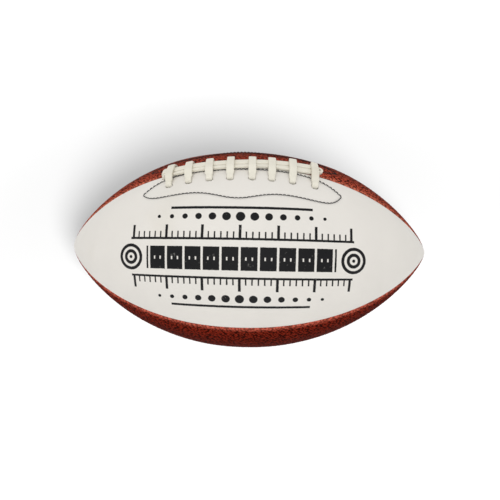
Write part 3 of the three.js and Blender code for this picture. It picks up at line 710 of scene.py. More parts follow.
def field_print(u, w):
    """A plain print of playing-field marks: a band cut by yard lines, a ruler of ticks above and below,
    rings at the rulers' ends, rows of dots and rails. u and w are millimetres on the panel, and the print is
    the same above and below its middle line."""
    middle_line, ruler_end = 8, 74
    tick, bar, tall_tick, dot_row, ring_row = 4, 12, 24, 9, 3.9
    along, level = abs(u), abs(w - middle_line)

    def strip(half_length, at_level, half_height):
        return fill(half_length - along) * fill(half_height - abs(level - at_level))

    marks = fill(level - 1.0).most(fill(every(u, tick) - 0.45))
    band = strip(62, 0, 7.5) * fill(every(u, bar) - 0.7) * marks
    ruler = strip(ruler_end, 12.5, 0.75)
    small = fill(0.5 - every(u, tick)) * strip(72.5, 15, 2.2)
    tall = fill(0.9 - every(u, tall_tick)) * strip(73, 17, 4.5)
    beyond = along - ruler_end
    away = (beyond * beyond + level * level) ** 0.5
    rings = fill(1.1 - every(away, ring_row)) * fill(8.875 - away)
    row, off_row = every(u, dot_row), level - 27
    size = 3.1 - along * 0.036
    dots = fill(size - (row * row + off_row * off_row) ** 0.5) * fill(58.375 - along)
    rails = strip(46, 33, 0.9)
    return band.most(ruler).most(small).most(tall).most(rings).most(dots).most(rails)


def white_cover(colours, is_printed):
    """Smooth white cover: faint mottling, a fine grain, grey painted shade in the slots and, on one panel, a
    print.
    """
    paint = Paint("white_cover_printed" if is_printed else "white_cover")
    mottle = paint.noise(38, 4.0)
    soil = paint.noise(14, 3.0, 0.6).step(0.52, 0.78)
    tone = paint.mix(mottle.step(0.3, 0.7) * 0.35, colours.white, shade(colours.white, 0.93))
    tone = paint.mix(soil * 0.3, tone, colours.soil)
    rough = 0.40 + mottle * 0.12
    if is_printed:
        u, w, _ = paint.on_surface()
        wobble = (paint.noise(700, 2.0) - 0.5) * 0.35
        worn = paint.noise(420).step(0.24, 0.36)
        mask = field_print(u / MM + wobble, w / MM + wobble) * (0.86 + worn * 0.14)
        tone = paint.mix(mask, tone, colours.ink)
        rough = rough + mask * 0.06
    # painted shade inside the slot holes
    tone = paint.mix(paint.attribute("inside"), tone, colours.white_slot_shade)
    cells = {"Vector": paint.in_space(), "Scale": 1500.0}
    grain = paint.value("ShaderNodeTexVoronoi", {"feature": "F1"}, cells)
    normal = paint.bump(grain + paint.noise(260) * 0.8, 0.06 * MM, 0.5)
    return paint.finish(base_color=tone, roughness=rough, normal=normal, specular_ior_level=0.15)


def brown_cover(colours):
    """Pebbled brown cover: tops lighter than the valleys, which are painted dark as shade, and broken up by
    specks;
    a little wear on the tops, painted shade along the middle of a panel, a painted highlight along its seams,
    and painted shade low on the ball with a painted highlight along its seam there."""
    paint = Paint("brown_cover")
    height, middle = paint.attribute("pebble"), paint.attribute("middle")
    edge = paint.on_surface()[2]
    speck = paint.noise(900, 2.0) - 0.5
    crown = (height + speck * 1.3).step(0.22, 0.78)
    tops = (height + speck * 1.6).step(0.35, 0.75)
    # painted shade: the valleys between the bumps turn near black
    tone = paint.mix(crown, colours.painted_valley_shade, colours.pebble_top)
    tone = paint.mix(paint.noise(26, 4.0).step(0.35, 0.75) * 0.25, tone, shade(colours.pebble_top, 0.62))
    # painted shade, darkest along the middle of the panel
    tone = paint.mix(middle.step(-0.05, 0.5) * 0.6, tone, colours.dull)
    # random wear in patches on the grain's tops, plus a painted highlight in a band along each seam,
    # strongest on the tops of the bumps
    wear_and_seam_highlight = tops * paint.noise(60).step(0.5, 0.75) * 0.03 + edge * (0.25 + tops * 0.65)
    tone = paint.mix(wear_and_seam_highlight, tone, colours.wear_and_seam_highlight)
    # painted light: low on the ball the brown is painted lighter near the seam and darker towards the panel's
    # middle, and near black in the grain's valleys
    painted_low_light = paint.mix(middle.step(0.0, 0.4), shade(colours.painted_low_shade, 3.6), shade(colours.painted_low_shade, 2.2))
    low = paint.mix(crown, shade(colours.painted_low_shade, 0.3), painted_low_light)
    # painted highlight along the seam of the low panel
    low = paint.mix(edge * (0.4 + tops * 0.6), low, colours.low_seam_highlight)
    # painted shade: the panel low on the ball is painted darker, fading in from 110 mm down to 76 mm above
    # the floor
    painted_low_shade_mask = paint.split(paint.in_space())[2].step(110 * MM, 76 * MM)
    tone = paint.mix(painted_low_shade_mask * 0.85, tone, low)
    # painted shade inside the slot holes
    tone = paint.mix(paint.attribute("inside"), tone, colours.brown_slot_shade)
    rough = 0.56 - height * 0.14 + paint.noise(300, 2.0) * 0.1
    normal = paint.bump(paint.noise(900), 0.08 * MM, 0.6)
    return paint.finish(base_color=tone, roughness=rough, normal=normal, specular_ior_level=0.02, ior=1.16)


def lace_strap(colours):
    """Cream vinyl strap: fine lines along it, faint soil, satin."""
    paint = Paint("lace_strap")
    across = paint.on_surface()[1]
    cloud = paint.noise(120)
    soil = paint.noise(45).step(0.5, 0.8)
    tone = paint.mix(cloud.step(0.3, 0.7) * 0.4, colours.lace, shade(colours.lace, 0.9))
    tone = paint.mix(soil * 0.35, tone, colours.lace_soil)
    normal = paint.bump(zigzag(across * 2600) * 0.6 + paint.noise(800, 2.0) * 0.5, 0.06 * MM, 0.5)
    return paint.finish(base_color=tone, roughness=0.42 + cloud * 0.15, normal=normal, specular_ior_level=0.3)


def twisted_thread(name, rgb):
    """Waxed thread: slanted strands along it, with painted sheen on them and painted shade between."""
    paint = Paint(name)
    along, across, _ = paint.on_surface()
    strand = zigzag((along * 1600 + across) * 2)
    fuzz = paint.noise(1200)
    # painted sheen and shade: lighter and darker copies of the thread's colour along the strands
    tone = paint.mix(strand.step(0.1, 0.8), shade(rgb, 0.55), shade(rgb, 1.25))
    normal = paint.bump(strand + fuzz * 0.4, 0.12 * MM, 0.7)
    return paint.finish(base_color=tone, roughness=0.62 + fuzz * 0.2, normal=normal)


def woven_cloth(name, rgb):
    """Plain-woven cloth: two crossed sets of yarns, each over and under, with slubs."""
    paint = Paint(name)
    along, across, _ = paint.on_surface()
    weave = (zigzag(along * 1400) * zigzag(across * 1400)).step(0.05, 0.7)
    slub = paint.noise(90, 4.0)
    # painted shade: darker where the yarns dip between their crossings
    tone = paint.mix(weave, shade(rgb, 0.55), rgb)
    tone = paint.mix(slub.step(0.35, 0.75) * 0.4, tone, shade(rgb, 1.2))
    normal = paint.bump(weave + slub * 0.5, 0.2 * MM, 0.7)
    return paint.finish(base_color=tone, roughness=0.85 + slub * 0.1, normal=normal)


def plain_patch(colours):
    """Undyed split leather of the facings and the tongue: blotchy, fibrous and dull."""
    paint = Paint("plain_patch")
    blotch = paint.noise(55, 5.0, 0.65)
    fibre = paint.noise(900, 4.0, 0.7)
    tone = paint.mix(blotch.step(0.3, 0.75), shade(colours.patch, 0.75), shade(colours.patch, 1.15))
    normal = paint.bump(fibre + blotch * 0.6, 0.25 * MM, 0.7)
    return paint.finish(base_color=tone, roughness=0.78 + fibre * 0.15, normal=normal)


def dull_rubber(name, rgb):
    """Black rubber: a dusty bloom in patches over a faintly mottled moulding."""
    paint = Paint(name)
    bloom = paint.noise(35, 4.0)
    tone = paint.mix(bloom.step(0.35, 0.8) * 0.6, rgb, shade(rgb, 2.6))
    normal = paint.bump(paint.noise(1100, 2.0) + bloom * 0.3, 0.05 * MM, 0.5)
    return paint.finish(base_color=tone, roughness=0.5 + bloom * 0.2, normal=normal)


# Cover


def measured_from(first_seam):
    """The seam that v is measured from on a panel, and the side of it where the panel lies: the lace seam
    where that is the panel's first one, and the last one on the other panels."""
    return (first_seam, 1) if first_seam == 0 else (first_seam + QUARTER, -1)


def panel_outside(ball, first_seam, rows, columns, relief, holes):
    """The outside of one quarter of the cover: the ball's outline, rolled down at both seams by a quarter
    ellipse and raised by the relief, a function of x, v and w, which is measured from the panel's middle. Its
    columns are crowded by a sine at the seams and the middle. Returns points and values."""
    body = ball.body
    crowding, hole_share = 0.022, 0.9
    roll_share, groove_share = 0.12, 0.06  # of a panel's breadth and radius, where it is narrow
    calm_edge, calm_tip, calm_least, seam_highlight_tip = 0.8 * MM, 6 * MM, 0.15, 34 * MM
    x = ball.stations(rows, PANEL_END)[:, None]
    r = ball.radius_at(x)
    share = np.linspace(0, 1, columns)[None]
    share = share - crowding * np.sin(2 * TURN * share)
    first_to_v = measured_from(first_seam)[0] - first_seam
    v = (share * QUARTER - first_to_v) * r
    x = np.broadcast_to(x, v.shape)
    x, v, drop, inside = punch(x, v, holes, hole_share * body.cover)
    from_first = first_to_v * r + v
    r_here = ball.radius_at(x)
    angle = first_seam + from_first / r
    arc = QUARTER * r_here
    from_edge = np.minimum(from_first, arc - from_first).clip(0)
    fall = (1 - from_edge / np.minimum(body.roll, roll_share * arc)).clip(0, 1)
    dip = np.minimum(body.groove, groove_share * r_here) * (1 - np.sqrt(1 - fall**2))
    w = from_first - arc / 2
    height, values = relief(x, v, w)
    calm = np.clip(from_edge / calm_edge, 0, 1) * np.clip(r_here / calm_tip, calm_least, 1)
    lift = height * calm - dip - drop - ball.panel_shift * (r_here / ball.radius)
    points = ball.round_axis(x, r_here, angle) + lift[..., None] * ball.normal(x, angle)
    # painted highlight: a band along each seam, a Gaussian of the distance from it, weaker near the tips
    edge = bell(from_edge, body.rub_width) * np.clip(r_here / seam_highlight_tip, 0, 1)
    values["place"] = np.stack([x, w, edge], axis=-1)
    values["inside"] = inside
    # the share of the way to the panel's middle, which places the painted shade on the brown panels
    values["middle"] = from_edge / (arc / 2)
    return points, values


def panel_inside(ball, first_seam, rows):
    """The inside of a quarter of the cover: the ball's outline at the cover's thickness, and at each seam the
    turned-in edge, down to the allowance and back up a thickness away from it."""
    body = ball.body
    last_seam = first_seam + QUARTER
    lip_share, turned_share = 0.12, 0.45  # of the radius, where it is small
    x = ball.stations(rows, PANEL_END)
    r = ball.radius_at(x)
    x = ball.drawn_in(x, body.cover)
    inner = ball.radius_at(x, body.cover)
    lip = np.minimum(body.cover, lip_share * r)
    turned = r - np.minimum(body.allowance, turned_share * r)
    on_inner = np.sqrt(np.maximum(inner**2 - lip**2, 1e-12))
    corners = ((turned, 0 * lip), (turned, lip), (on_inner, lip))
    first = [ball.beside(x, out, aside, first_seam) for out, aside in corners]
    last = [ball.beside(x, out, -aside, last_seam) for out, aside in corners[::-1]]
    middle = np.linspace(0.1, 0.9, 9) * QUARTER + first_seam
    within = ball.round_axis(x[:, None], inner[:, None], middle[None])
    return np.concatenate([np.stack(first, axis=1), within, np.stack(last, axis=1)], axis=1)


def panel_wall(ball, first_seam, rows, columns, relief, holes):
    """One quarter of the cover as a closed wall: its outside and then its inside, back again, as one ring for
    each row. It is pressed flat where it rests: a height becomes half the sum of itself and the root of its
    square and a little more. Returns points, faces and values."""
    outside, values = panel_outside(ball, first_seam, rows, columns, relief, holes)
    rings = np.concatenate([outside, panel_inside(ball, first_seam, rows)[:, ::-1]], axis=1)
    rings = rings + ball.apart(first_seam)
    height = rings[:, :columns, 2]
    rings[:, :columns, 2] = (height + np.sqrt(height**2 + ball.body.rest_ease**2)) / 2
    total = rings.shape[1]

    def spread(field):
        """Values on the outside, with nothing on the rest of each ring."""
        full = np.zeros((rows, total, *field.shape[2:]))
        full[:, :columns] = field
        return tube_values(full)

    spread_values = {key: spread(field) for key, field in values.items()}
    return tube_points(rings), tube_faces(rows, total), spread_values


def stitched_dent(x, v, loops):
    """The cover drawn down along the sewn outline: a narrow Gaussian channel in a wider shallow one."""
    depth, breadth = 0.42 * MM, 0.8 * MM
    wide_depth, wide_breadth = 0.25 * MM, 3 * MM
    dent = np.zeros_like(x)
    for loop in loops:
        distance = distance_to_loop(x, v, loop)
        dent = dent - depth * bell(distance, breadth) - wide_depth * bell(distance, wide_breadth)
    return dent


def smooth_relief(seed, loops):
    """The white cover's relief: slow unevenness, with the dents of its stitching."""
    unevenness = 0.16 * MM

    def relief(x, v, w):
        return unevenness * swell(x, w, seed) + stitched_dent(x, v, loops), {}

    return relief


def grained_relief(body, seed, loops, sag):
    """The brown cover's relief: pebbles, slow unevenness and the dents of its stitching, with a broad hollow
    behind the lacing."""
    unevenness = 0.12 * MM
    hollow_x, hollow_length = 8 * MM, 52 * MM
    hollow_v, hollow_breadth = -36 * MM, 24 * MM

    def relief(x, v, w):
        bumps = pebbles(x, w, body.pebble_spacing, seed)
        height = body.pebble_height * bumps + unevenness * swell(x, w, seed)
        along, across = (x - hollow_x) / hollow_length, (v - hollow_v) / hollow_breadth
        hollow = np.exp(-(along**4) - across**2)
        return height - sag * hollow + stitched_dent(x, v, loops), {"pebble": bumps}

    return relief


def valve_hole(ball, inside, room=1.0):
    """The round hole for the valve, at the middle of the rear panel, measured from the panel's last seam."""
    radius = (inside.stem + ball.body.clearance) * room
    return (0.0, -QUARTER / 2 * ball.radius, radius, radius, ROUND)


class FOOTBALL_OT_cover(bpy.types.Operator):
    """Make the four cover panels"""

    bl_idname = "football.cover"
    bl_label = "Cover Panels"

    def execute(self, context):
        ball, lacing, inside, colours = plans_of(context)
        body = ball.body
        front_loop, back_loop = (lacing.outline(side, 900)[0] for side in (1, -1))
        back_relief = grained_relief(body, 2.0, [back_loop], body.back_sag)
        lower_relief = grained_relief(body, 3.0, [], 0.0)
        valve = [valve_hole(ball, inside)]
        brown, printed, plain = brown_cover(colours), white_cover(colours, True), white_cover(colours, False)
        plans = (
            ("front_white", 0.0, 400, 230, smooth_relief(1.0, [front_loop]), lacing.slots(1), printed),
            ("back_brown", -QUARTER, 450, 205, back_relief, lacing.slots(-1), brown),
            ("lower_brown", QUARTER, 450, 205, lower_relief, [], brown),
            ("rear_white", 2 * QUARTER, 420, 190, smooth_relief(4.0, []), valve, plain),
        )
        for name, seam, rows, columns, relief, holes, material in plans:
            points, faces, values = panel_wall(ball, seam, rows, columns, relief, holes)
            slot = "brown_cover" if material == brown else "white_cover"
            new_piece("cover_" + name, points, faces, material, "panel_" + name, values, crease=50)
        return {"FINISHED"}


# Lace and stitching


class Strap:
    """Draws the strap's middle line on the ball in (x, v, h), with the way its flat side faces, its width and
    how far it wanders with the strips."""

    def __init__(self, start, ahead, facing, width, step):
        self.p, self.t, self.n = np.array(start), np.array(ahead), np.array(facing)
        self.full, self.step, self.drift = width, step, 1.0
        self.rows = []
        self.add(self.p[None], self.n[None], width)

    def add(self, points, facings, width):
        facings = np.broadcast_to(facings, points.shape)
        rest = np.stack([np.broadcast_to(width, len(points)), np.full(len(points), self.drift)], axis=1)
        self.rows.append(np.concatenate([points, facings, rest], axis=1))
        self.p = points[-1]

    def go(self, distance, width=None, aside_at=None):
        """A straight run, in even steps. Its width may be a function of the distance gone, and so may a shift
        in v."""
        if distance > 1e-6:
            gone = np.linspace(0, distance, max(int(distance / self.step), 1) + 1)[1:]
            points = self.p + gone[:, None] * self.t
            end = points[-1]
            if aside_at is not None:
                points = points + aside_at(gone)[:, None] * np.array([0, 1.0, 0])
            self.add(points, self.n, width(gone) if callable(width) else width or self.full)
            self.p = end

    def arc(self, side, radius, angle):
        """Points of a circle that leaves the strap's way towards a side."""
        return self.p + radius * (np.sin(angle) * self.t + (1 - np.cos(angle)) * side)

    def turn(self, towards, radius, width=None, count=8):
        """A quarter circle towards a direction: over the flat side where that faces it, or else on edge."""
        side = np.array(towards)
        angle = np.linspace(0, QUARTER, count + 1)[1:, None]
        over = float(self.n @ side)
        facing = np.cos(angle) * self.n - over * np.sin(angle) * self.t if over else self.n
        last_facing = -over * self.t if over else self.n
        self.add(self.arc(side, radius, angle), facing, width or self.full)
        self.t, self.n = side, last_facing

    def loop(self, towards, radius, width, count=28):
        """A half circle on edge, at one width."""
        angle = np.linspace(0, math.pi, count + 1)[1:, None]
        self.add(self.arc(np.array(towards), radius, angle), self.n, width)
        self.t = -self.t

    def cross(self, towards, to_v, count, x_at, h_at, width_at):
        """A run across to v: x and width are functions of the share of it that is done, and h is one of v."""
        share = np.linspace(0, 1, count + 1)[1:]
        v = self.p[1] + (to_v - self.p[1]) * share
        self.add(np.stack([x_at(share), v, h_at(v)], axis=-1), self.n, width_at(share))
        self.t = np.array(towards)


def lace_route(lacing, step):
    """The strap's whole way: up through the end slot, along the back of the seam, round on edge, back along
    its front and in again, then as a spiral of bars over the strips and slanted runs inside. A bar rises
    over the strips by a smooth step and narrows to its slots. Returns rows of x, v, h, the three parts of the
    facing, width and drift."""
    s = lacing.sizes
    ahead, to_front, to_back = (1.0, 0, 0), (0, 1.0, 0), (0, -1.0, 0)
    outward, inward = (0, 0, 1.0), (0, 0, -1.0)
    rise = lacing.out + s.under - 2 * s.bend
    slot_inner = s.slot_offset - s.bend
    front_run = lacing.strip_end - s.bend + lacing.loop_start
    back_run = front_run + s.end_skew
    taper, bar_taper = 7 * MM, 0.1  # of a strip, and of a bar as a share of its run
    spread_start, spread_run = 15 * MM, 25 * MM
    narrow = s.slot_width - 0.4 * MM
    slack, foot = 0.25 * MM, 1.5 * MM

    def back_strip_width(gone):
        return s.width + (s.loop_width - s.width) * smooth_step((gone - back_run) / taper + 1)

    def front_strip_width(gone):
        spread = smooth_step((lacing.loop_start - gone - spread_start) / spread_run)
        full = s.front_width + s.front_spread * spread
        return s.loop_width + (full - s.loop_width) * smooth_step(gone / taper)

    def front_strip_aside(gone):
        return np.maximum(front_strip_width(gone) - s.front_width, 0) / 2

    def bar_width(share):
        return narrow + (s.width - narrow) * smooth_step(np.minimum(share, 1 - share) / bar_taper)

    strap = Strap((-lacing.strip_end - s.end_skew, lacing.back_strip, -s.tail), outward, ahead, s.width, step)
    strap.go(s.tail + lacing.out - s.bend)
    strap.turn(ahead, s.bend)
    strap.go(back_run, back_strip_width)
    strap.loop(to_front, (lacing.front_strip - lacing.back_strip) / 2, s.loop_width)
    strap.full = s.front_width
    strap.go(front_run, front_strip_width, front_strip_aside)
    strap.turn(inward, s.bend)
    strap.full = s.width
    strap.go(rise, lambda gone: s.front_width + (narrow - s.front_width) * gone / rise)
    strap.drift = 0.0
    strap.turn(ahead, s.bend, narrow)
    to_first = lacing.front_bars[0] - strap.p[0]
    edge_turn = min(to_first, slot_inner - lacing.front_strip)
    strap.go(to_first - edge_turn, narrow)
    strap.turn(to_front, edge_turn, narrow)
    strap.go(slot_inner - strap.p[1], narrow)
    for k in range(s.bars):
        front_x, back_x = lacing.front_bars[k], lacing.back_bars[k]
        back_inner = lacing.back_offsets[k] - s.bend
        drift = lacing.drift(front_x)
        high = lacing.over + slack * math.sin(1.9 * k + 2)
        front_edge = min(lacing.front_reach + drift + s.bar_lift, slot_inner - foot)
        back_edge = min(lacing.back_reach - drift + s.bar_lift, back_inner - foot)

        def over_strips(v):
            edge = np.where(v > 0, front_edge, back_edge)
            down = smooth_step((np.abs(v) - edge) / (np.where(v > 0, slot_inner, back_inner) - edge))
            return lacing.out + (high - lacing.out) * (1 - down)

        def bar_x(share):
            return front_x + (back_x - front_x) * share

        strap.turn(outward, s.bend, narrow)
        strap.go(rise, narrow)
        strap.turn(to_back, s.bend, narrow)
        strap.cross(to_back, -back_inner, 44, bar_x, over_strips, bar_width)
        strap.turn(inward, s.bend, narrow)
        strap.go(rise, narrow)
        strap.turn(to_front, s.bend, narrow)
        if k + 1 < s.bars:
            next_x = lacing.front_bars[k + 1]

            def inner_x(share):
                return back_x + (next_x - back_x) * smooth_step(share)

            strap.cross(to_front, slot_inner, 24, inner_x, lambda v: 0 * v - s.under, bar_width)
    strap.go(slot_inner)
    return np.concatenate(strap.rows)


class FOOTBALL_OT_lace(bpy.types.Operator):
    """Make the lace as one strap along its whole route"""

    bl_idname = "football.lace"
    bl_label = "Lace"

    def execute(self, context):
        ball, lacing, _, colours = plans_of(context)
        route = lace_route(lacing, 1.2 * MM)
        path, normals = self.laid(ball, lacing, route)
        run = run_along(path)
        width, thick = self.section(lacing.sizes, route[:, 6], run)
        rings = carry(path, normals, width, thick)
        place = np.stack(np.broadcast_arrays(run[:, None], width, thick), axis=-1)
        faces = tube_faces(*rings.shape[:2])
        values = {"place": tube_values(place)}
        new_piece("lace_strap", tube_points(rings), faces, lace_strap(colours), "lace", values)
        return {"FINISHED"}

    def laid(self, ball, lacing, route):
        """The route on the ball: moved with the strips' wander, which comes and goes over a few points, and
        lifted by smooth steps where the strips go in and along the back. Returns points and facings."""
        s = lacing.sizes
        x, v, h = route[:, :3].T
        reach = 6  # points to each side
        top_from, top_rise = -1 * MM, 1.5 * MM
        end_from, end_rise, back_rise = 9 * MM, 6 * MM, 2 * MM
        even = np.full(2 * reach + 1, 1 / (2 * reach + 1))
        drift = np.convolve(np.pad(route[:, 7], reach, mode="edge"), even, mode="valid")
        on_top = drift * smooth_step((h - top_from) / top_rise)
        from_end = x + lacing.strip_end
        h = h + on_top * s.end_lift * smooth_step((end_from - from_end) / end_rise)
        h = h + on_top * s.back_lift * smooth_step(-v / back_rise)
        x, v = x + s.shift, v + lacing.drift(x) * drift
        along, across, out = ball.axes(x, v)
        facings = route[:, 3:4] * along + route[:, 4:5] * across + route[:, 5:6] * out
        return ball.point(x, v, h), facings

    def section(self, s, width, run):
        """The strap's section at each point: a round-cornered rectangle, as powers of a circle's cosine and
        sine, that waves a little along the way and is thicker where it is drawn together."""
        turn = np.linspace(0, TURN, 28, endpoint=False)
        flat, crown = signed_power(np.cos(turn), 0.36), signed_power(np.sin(turn), 0.42)
        wave = 1 + 0.025 * np.sin(run * 210) + 0.02 * np.sin(run * 97 + 1)
        bunched = 1 + 0.3 * (1 - width / s.width)
        thick = s.thickness / 2 * bunched * (1 + 0.04 * np.sin(run * 150 + 2))
        return (width / 2 * wave)[:, None] * flat, thick[:, None] * crown


def stitch_row(ball, s, loop, perimeter):
    """A row of stitches along a loop on the lace seam's side: each is a round thread that comes up out of the
    cover, arches over and goes down again, with a power of its share of the way as its arch. Returns points,
    faces and places."""
    count = int(perimeter / s.stitch)
    sides, steps, half_stitch = 8, 11, 0.47
    arch_power, thinned, thin_power = 3.2, 0.28, 4
    share = np.linspace(-1, 1, steps)
    at = ((np.arange(count)[:, None] + 0.5 + half_stitch * share) / count) % 1.0
    closed = np.concatenate([loop, loop[:1]])
    run = np.linspace(0, 1, len(closed))
    x, v = (np.interp(at, run, line) for line in closed.T)
    path = ball.point(x, v, s.stitch_arch * (1 - np.abs(share) ** arch_power) - s.stitch_depth)
    turn = np.linspace(0, TURN, sides, endpoint=False)
    radius = (s.thread / 2 * (1 - thinned * np.abs(share) ** thin_power))[:, None]
    rings = carry(path, ball.normal(x, v / ball.radius_at(x)), radius * np.cos(turn), radius * np.sin(turn))
    points = np.concatenate([rings.reshape(count, -1, 3), path[:, :1], path[:, -1:]], axis=1)
    each = points.shape[1]
    faces = repeated(tube_faces(steps, sides), each, count)
    place = np.zeros((count, each, 3))
    place[:, : steps * sides, 0] = np.repeat(at * perimeter, sides, axis=1)
    place[:, : steps * sides, 1] = np.tile(turn / TURN, steps)
    return points, faces, place.reshape(-1, 3)


class FOOTBALL_OT_stitching(bpy.types.Operator):
    """Make the sewn outlines round the lace slots"""

    bl_idname = "football.stitching"
    bl_label = "Facing Stitches"

    def execute(self, context):
        ball, lacing, _, colours = plans_of(context)
        black = twisted_thread("black_thread", colours.thread)
        brown = twisted_thread("brown_thread", shade(colours.painted_valley_shade, 0.7))
        for side, name, thread in ((1, "front", black), (-1, "back", brown)):
            points, faces, place = stitch_row(ball, lacing.sizes, *lacing.outline(side, 3000))
            node, values = "facing_stitch_" + name, {"place": place}
            new_piece("stitches_" + name, points, faces, thread, node, values)
        return {"FINISHED"}


# Inside


def closed_wall(outer, inner, keep, is_ring=False):
    """A wall between two grids of points. Cells that aren't kept are left open, and a rim joins the two
    grids wherever a kept cell borders on none. With is_ring the columns close on themselves and the rows
    end in poles. Returns points, faces and which of the grids' points they use."""
    rows, columns = outer.shape[:2]
    below = rows * columns
    index = np.arange(below).reshape(rows, columns)
    if is_ring:
        index = np.concatenate([index, index[:, :1]], axis=1)
    cells = np.stack([index[:-1, :-1], index[:-1, 1:], index[1:, 1:], index[1:, :-1]], axis=-1)[keep]

    def rim(first, last, wanted):
        p, q = first[wanted], last[wanted]
        return np.stack([q, p, p + below, q + below], axis=-1)

    parts = [cells, cells[:, ::-1] + below]
    padded = np.pad(keep, ((1, 1), (0, 0)), mode="edge" if is_ring else "constant")
    before, after = padded[:-1], padded[1:]
    left, right = index[:, :-1], index[:, 1:]
    parts += [rim(left, right, after & ~before), rim(right, left, before & ~after)]
    padded = np.pad(keep, ((0, 0), (1, 1)), mode="wrap" if is_ring else "constant")
    before, after = padded[:, :-1][:, :columns], padded[:, 1:][:, :columns]
    upper, lower = index[:-1, :columns], index[1:, :columns]
    parts += [rim(lower, upper, after & ~before), rim(upper, lower, before & ~after)]
    used, faces = np.unique(np.concatenate(parts), return_inverse=True)
    points = np.concatenate([outer.reshape(-1, 3), inner.reshape(-1, 3)])[used]
    return points, faces.reshape(-1, 4), used


class Layer:
    """A layer inside the cover: the two grids of its wall, the cells that are kept, and x and v."""

    def __init__(self, outer, inner, deep, x, v, is_ring=False):
        self.outer, self.inner, self.is_ring = outer, inner, is_ring
        inside = np.pad(deep > 0.5, ((0, 0), (0, 1)), mode="wrap") if is_ring else deep > 0.5
        self.keep = ~(inside[:-1, :-1] & inside[1:, :-1] & inside[:-1, 1:] & inside[1:, 1:])
        self.place = np.stack([x, v, 0 * x], axis=-1)

    def make(self, name, material, slot, node):
        points, faces, used = closed_wall(self.outer, self.inner, self.keep, self.is_ring)
        place = np.concatenate([self.place, self.place]).reshape(-1, 3)[used]
        return new_piece(name, points, faces.tolist(), material, node, {"place": place})

    def declare(self, piece, held, rests_on):
        """Works out the cross products of the diagonals of the outer grid's cells, and does nothing more with
        them."""
        grid = self.outer
        cells = np.cross(grid[1:, 1:] - grid[:-1, :-1], grid[1:, :-1] - grid[:-1, 1:])


def lining_layer(ball, inside, first_seam, rows, columns, holes):
    """A panel's lining. Its rows run from one turned-in edge to the other, with their points crowded by a
    power towards the seam that the holes are measured from, and it lies straight below the cover along the
    normal."""
    body = ball.body
    top = body.cover + body.clearance
    foot = top + body.lining
    crowding = 1.4
    x = ball.stations(rows, inside.lining_end)[:, None]
    r = ball.radius_at(x)
    seam, side = measured_from(first_seam)
    edge = top * r / (r - foot)
    share = np.linspace(0, 1, columns)[::side] ** crowding
    v = side * (edge + (QUARTER * r - 2 * edge) * share)
    x, v, _, deep = punch(np.broadcast_to(x, v.shape), v, holes)
    outer, inner = (ball.point(x, v, -depth, seam) + ball.apart(first_seam) for depth in (top, foot))
    return Layer(outer, inner, deep, x, v)


def patch_layer(ball, x, low, high, columns, top, foot, holes):
    """A patch below the lacing: at each x it runs from v = low to v = high, between two depths."""
    v = low[:, None] + (high - low)[:, None] * np.linspace(0, 1, columns)
    x, v, _, deep = punch(np.broadcast_to(x[:, None], v.shape), v, holes)
    return Layer(ball.point(x, v, -top), ball.point(x, v, -foot), deep, x, v)


def bladder_layer(ball, inside, lacing):
    """The bladder: the ball's outline at two depths, pressed in under the tongue by smooth steps along and
    across the slit, with a round hole for the valve. Its first and last rows shrink to the poles."""
    rows, columns, pole_radius = 130, 220, 1e-7
    room_along, room_round = 1.06, 1.1  # for the valve, in radii of its hole
    along_end, along_run = 1.5, 0.45  # in half lengths of the slit
    across_end, across_run = 2.4, 1.1  # in reaches of the tongue
    x = ball.stations(rows, pole_radius)[:, None]
    angle = np.linspace(-math.pi, math.pi, columns, endpoint=False)[None]
    x, angle = np.broadcast_arrays(x, angle)
    hole_angle = VALVE_ANGLE - TURN
    radius = inside.stem + ball.body.clearance
    hole = (0.0, 0.0, room_along * radius, room_round * radius, ROUND)
    x, v, _, deep = punch(x, (angle - hole_angle) * ball.radius, [hole])
    angle = v / ball.radius + hole_angle

    def skin(depth):
        layer_x = ball.drawn_in(x, depth)
        off_seam = np.abs(angle) * ball.radius_at(layer_x)
        off_middle = np.abs(layer_x - lacing.sizes.shift)
        along = smooth_step((along_end - off_middle / inside.slit_half) / along_run)
        across = smooth_step((across_end - off_seam / inside.tongue_reach) / across_run)
        pressed = inside.pressed * along * across
        return ball.round_axis(layer_x, ball.radius_at(layer_x, depth) - pressed, angle)

    return Layer(skin(inside.bladder_depth), skin(inside.bladder_depth + inside.bladder), deep, x, v, True)


class FOOTBALL_OT_linings(bpy.types.Operator):
    """Make the cloth behind each panel"""

    bl_idname = "football.linings"
    bl_label = "Linings"

    def execute(self, context):
        ball, lacing, inside, colours = plans_of(context)
        cloth = woven_cloth("lining_cloth", colours.cloth)
        plans = (
            ("front", 0.0, 260, 80, lacing.slots(1), "cover_front_white"),
            ("back", -QUARTER, 260, 80, lacing.slots(-1), "cover_back_brown"),
            ("lower", QUARTER, 120, 48, [], "cover_lower_brown"),
            ("rear", 2 * QUARTER, 140, 64, [valve_hole(ball, inside, 1.04)], "cover_rear_white"),
        )
        for name, seam, rows, columns, holes, cover in plans:
            layer = lining_layer(ball, inside, seam, rows, columns, holes)
            piece = layer.make("lining_cloth_" + name, cloth, "lining", "lining_" + name)
            layer.declare(piece, "stretched", [cover])
        return {"FINISHED"}


